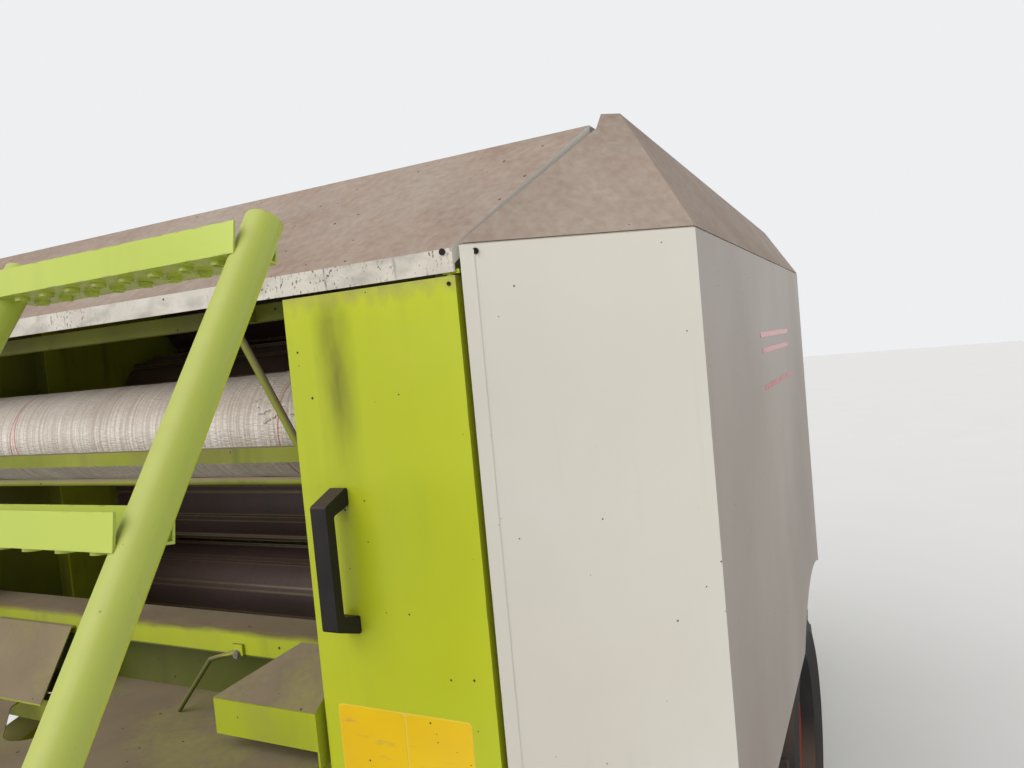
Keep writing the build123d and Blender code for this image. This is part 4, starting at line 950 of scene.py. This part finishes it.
# Stay rod bolt and ladder pin nuts: one bolt holds the bent rod's upper end to the beam.
# A nut closes each of the two pins on which the ladder folds at the platform's edge.
stay_rod_end = (0.292, -0.01, 1.184)
pin_height = 1.08
pin_y = -0.914
pin_ends = ((0.883, 1), (0.372, -1))
bolted("stay_rod_bolt", [(stay_rod_end, (0, -1, 0))], "front_beam", "chassis", 0.013, 0.006)
spots = [((x, pin_y, pin_height), (way, 0, 0)) for x, way in pin_ends]
bolted("ladder_pin_nuts", spots, "platform", "chassis", width=0.019, height=0.009)

# Pick-up, gauge wheel and gate bolts: a ring round the reel's bearing in each side plate,
# five nuts on each gauge wheel, and four bolts round each of the tailgate's pivots.
reel_spot = (1.06, 0.214, 0.330)
gauge_spot = (1.15, 0.296, 0.240)
pivot_spot = (0.65, 1.451, 2.275)
for side_name, side in hands:
    spots = circle_x(side * reel_spot[0], *reel_spot[1:], 0.055, 6)
    bolted(f"reel_bearing_bolts_{side_name}", spots, "pickup_sides", "pickup", 0.013, 0.007)
    spots = circle_x(side * gauge_spot[0], *gauge_spot[1:], 0.040, 5)
    body = f"gauge_wheel_{side_name}"
    bolted(f"gauge_wheel_nuts_{side_name}", spots, body, body, 0.015, 0.008)
    spots = circle_x(side * pivot_spot[0], *pivot_spot[1:], 0.040, 4, math.pi / 4)
    bolted(f"gate_pivot_bolts_{side_name}", spots, "tailgate_shell", "tailgate")

# Tail lamps: a black housing with a ribbed lens, red inside and amber on the outer third.
# One is screwed to each end of the lamp bar that crosses the tailgate.
lamp_low, lamp_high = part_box("rear_lamps")
amber_from = 0.640
lens_depth = 0.0195
rib_phase = 900.0
lamp_red, tree, skin = new_finish("lamp_red")
where = object_place(tree)
outward = figure(tree, "ABSOLUTE", where["X"])
amber = between(tree, outward, amber_from - 0.0005, amber_from + 0.0005)
lens = laid_over(tree, amber, colour(0.42, 0.006, 0.005), colour(0.75, 0.20, 0.006))
lens_start = lamp_high[1] - lens_depth
in_front = between(tree, where["Y"], lens_start - 0.0005, lens_start + 0.0005)
lens = laid_over(tree, in_front, colour(0.02, 0.02, 0.02), lens)
lens = laid_over(tree, mask_of(tree, settled_dust, on_top=0.8, all_over=0.3), lens, barn_dust)
tree.links.new(lens, skin.inputs["Base Color"])
skin.inputs["Roughness"].default_value = 0.2
ribs = figure(tree, "SINE", figure(tree, "MULTIPLY", where["Z"], rib_phase))
bump(tree, skin, ribs, strength=0.6, distance=0.0015)
dress(lamp_red, "rear_lamps")

# Rear sign plate and reflectors: a blank white plate and two round red reflectors.
# All three are riveted on the lamp bar that crosses the tailgate, between the lamps.
bar_height = (lamp_low[2] + lamp_high[2]) / 2
plate_half = (0.26, 0.028)
plate_corner = 0.008
plate_thickness = 0.002
reflector_x = 0.42
reflector_profile = ((-0.001, 0.026), (0.004, 0.026), (0.006, 0.022))


def on_lamp_bar(x):
    return touch("tailgate_shell", (x, lamp_high[1], bar_height), (0, 1, 0), reach=0.1, depth=0.4)


blank_white = printed_foil("blank_white", colour(0.72, 0.72, 0.70), colour(0.66, 0.65, 0.62))
met = on_lamp_bar(0.0)
if met:
    low = (-plate_half[0], bar_height - plate_half[1])
    high = (plate_half[0], bar_height + plate_half[1])
    plate = rounded_plate(low, high, plate_corner, met.y, met.y + plate_thickness)
    new_piece("rear_plate", *plate, blank_white, "tailgate", smooth=False)
reflector_red = printed_foil("reflector_red", colour(0.40, 0.006, 0.005), colour(0.34, 0.01, 0.008))
for side_name, side in hands:
    met = on_lamp_bar(side * reflector_x)
    if met:
        disc = turned(met, (0, 1, 0), reflector_profile, 36)
        new_piece(f"rear_reflector_{side_name}", *disc, reflector_red, "tailgate")

# Lift cylinders: honed barrels in grey paint, and rods in hard chrome with fine scratches.
# A turned gland ring screws into each barrel's rod end, round the rod.
# Two short unions stand on the barrel where oil goes in, closed by black plastic plugs.
cylinder_foot = Vector((0, 1.121, 1.125))
cylinder_x = 0.765
cylinder_way = Vector((0, 0.450, 0.730)).normalized()
port_way = Vector((0, 0.730, -0.450)).normalized()
barrel_radius = 0.034
gland_radius = barrel_radius + 0.003
gland_profile = (
    (-0.034, barrel_radius),
    (-0.033, gland_radius),
    (-0.002, gland_radius),
    (-0.0005, barrel_radius),
)
union_profile = ((0, 0.010), (0.012, 0.010), (0.013, 0.012), (0.022, 0.012), (0.024, 0.010))
union_sunk = 0.004
lower_union = 0.09
upper_union = 0.06
for side_name, side in hands:
    body = f"barrel_{side_name}"
    foot = cylinder_foot + Vector((side * cylinder_x, 0, 0))
    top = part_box(f"cylinder_barrel_{side_name}")[1][2]
    along = (top - foot.z - barrel_radius * cylinder_way.y) / cylinder_way.z
    solid = turned(foot + cylinder_way * along, cylinder_way, gland_profile)
    ring = new_piece(f"gland_ring_{side_name}", *solid, bolt_steel, body)
    unions = []
    for at in (lower_union, along - upper_union):
        start = foot + cylinder_way * at + port_way * (barrel_radius - union_sunk)
        unions.append(turned(start, port_way, union_profile, 6))
    unions = stacked(*unions)
    union = new_piece(f"cylinder_unions_{side_name}", *unions, black_plastic, body, smooth=False)
chrome, tree, skin = new_finish("rod_chrome")
skin.inputs["Metallic"].default_value = 1.0
scratches = between(tree, grain(tree, 90, 4, (1, 1, 0.1)), 0.3, 0.7, 0.14, 0.32)
tree.links.new(scratches, skin.inputs["Roughness"])
dust = mask_of(tree, settled_dust, on_top=0.3, all_over=0.2)
tone = laid_over(tree, dust, colour(0.62, 0.62, 0.63), barn_dust)
tree.links.new(tone, skin.inputs["Base Color"])
dress(chrome, *both_sides("cylinder_rod"))
dress(grey_paint, *both_sides("cylinder_barrel"))

# Drive shaft guard ribs: moulded rings on the bell at the gearbox end of the plastic guard.
# They stiffen the bell, and two thicker collars sit where the tubes slide in each other.
shaft_rear = Vector((0, -0.249, 0.905))
shaft_front = Vector((0, -1.654, 0.83))
shaft_way = (shaft_front - shaft_rear).normalized()
shaft_middle = (shaft_front - shaft_rear).length / 2
guard_radius = 0.041
rib_radius = 0.0455
collar_radius = 0.0475
ring_places = [(at, rib_radius) for at in (0.22, 0.255, 0.29)]
ring_places += [(at, collar_radius) for at in (shaft_middle, shaft_middle + 0.05)]
rings = []
for at, radius in ring_places:
    profile = ((0.0, guard_radius), (0.002, radius), (0.010, radius), (0.012, guard_radius))
    rings.append(turned(shaft_rear + shaft_way * at, shaft_way, profile, 40))
rings = new_piece("shaft_guard_ribs", *stacked(*rings), black_plastic, "chassis")

# Wheels: pressed steel rims in red paint, bolted to the hubs, with ribbed rubber tyres.
# Dried mud lies on the treads, and the gauge wheels are solid rubber on plain axles.
rim_red = colour(0.42, 0.02, 0.012)
rim_pale = colour(0.47, 0.05, 0.03)
rim_wear = {"on_top": 0.7, "all_over": 0.3, "worn": 0.8, "runs": 0.4}
red_paint = painted_steel("red_paint", rim_red, rim_pale, **rim_wear)
dress(red_paint, *both_sides("rim"))
tyre_rubber = moulded_plastic(
    "tyre_rubber", colour(0.016, 0.015, 0.015), colour(0.07, 0.06, 0.05), on_top=0.6, rough=0.75
)
dress(tyre_rubber, *both_sides("tyre", "gauge_wheel"))

# Floor: smooth pale concrete, poured in one piece without a joint, stain or mark.
# It reaches far beyond the machine on every side.
floor_half = 40.0
floor_corners = [(-1, -1), (1, -1), (1, 1), (-1, 1)]
floor_points = [(x * floor_half, y * floor_half, 0) for x, y in floor_corners]
floor_finish, tree, skin = new_finish("pale_floor")
tone = laid_over(tree, grain(tree, 1.2, 4), colour(0.74, 0.73, 0.71), colour(0.78, 0.77, 0.75))
tree.links.new(tone, skin.inputs["Base Color"])
skin.inputs["Roughness"].default_value = 0.9
floor = new_piece("floor", floor_points, [(0, 1, 2, 3)], floor_finish, None)

# Sky: one pale tone all round, as on a bright day under thin cloud.
# It gives less light than its look from the camera and in paint and chrome suggests.
sky_strength = 0.40
seen_strength = 0.92
sky = bpy.data.worlds.new("pale_sky")
bpy.context.scene.world = sky
sky.use_nodes = True
tree = sky.node_tree
rays = place(tree, "ShaderNodeLightPath").outputs
seen = mask_figure(tree, "MAXIMUM", rays["Is Camera Ray"], rays["Is Glossy Ray"])
seen = mask_figure(tree, "MAXIMUM", seen, rays["Is Transmission Ray"])
light = tree.nodes["Background"].inputs
light["Color"].default_value = colour(0.93, 0.94, 0.96)
tree.links.new(between(tree, seen, 0.0, 1.0, sky_strength, seen_strength), light["Strength"])

# Lamps: a wide soft one far off before the machine, high and to its right.
# A weak one stands behind on the left, so that the rear isn't lost in shade.
lamps = {
    "front_lamp": {"spot": (-1.8, -6.0, 4.6), "width": 1.1, "power": 2.7},
    "rear_lamp": {"spot": (3.0, 7.0, 5.0), "width": 1.4, "power": 0.6},
}
for lamp_name, given in lamps.items():
    lamp_data = bpy.data.lights.new(lamp_name, "SUN")
    lamp_data.angle = given["width"]
    lamp_data.energy = given["power"]
    lamp = bpy.data.objects.new(lamp_name, lamp_data)
    turn = Vector(given["spot"]).to_track_quat("Z", "Y").to_matrix().to_4x4()
    lamp.matrix_world = Matrix.Translation(given["spot"]) @ turn
    bpy.context.scene.collection.objects.link(lamp)

# Camera: where the photographer stood, at eye height close to the front left corner.
# It looks back along the left side and a little down, through a wide lens.
eye_place = Vector((1.45, -1.044, 1.72))
eye_right = Vector((0.8945, 0.4377, -0.0920))
eye_back = Vector((0.4426, -0.8954, 0.0451)).normalized()
eye_up = eye_back.cross(eye_right).normalized()
eye_right = eye_up.cross(eye_back)
camera_data = bpy.data.cameras.new("photo_camera")
camera_data.lens = 26.82
camera_data.sensor_width = 36.0
camera_data.clip_end = 200.0
camera = bpy.data.objects.new("photo_camera", camera_data)
turn = Matrix((eye_right, eye_up, eye_back)).transposed().to_4x4()
camera.matrix_world = Matrix.Translation(eye_place) @ turn
bpy.context.scene.collection.objects.link(camera)
bpy.context.scene.camera = camera
bpy.context.scene.view_settings.view_transform = "Standard"
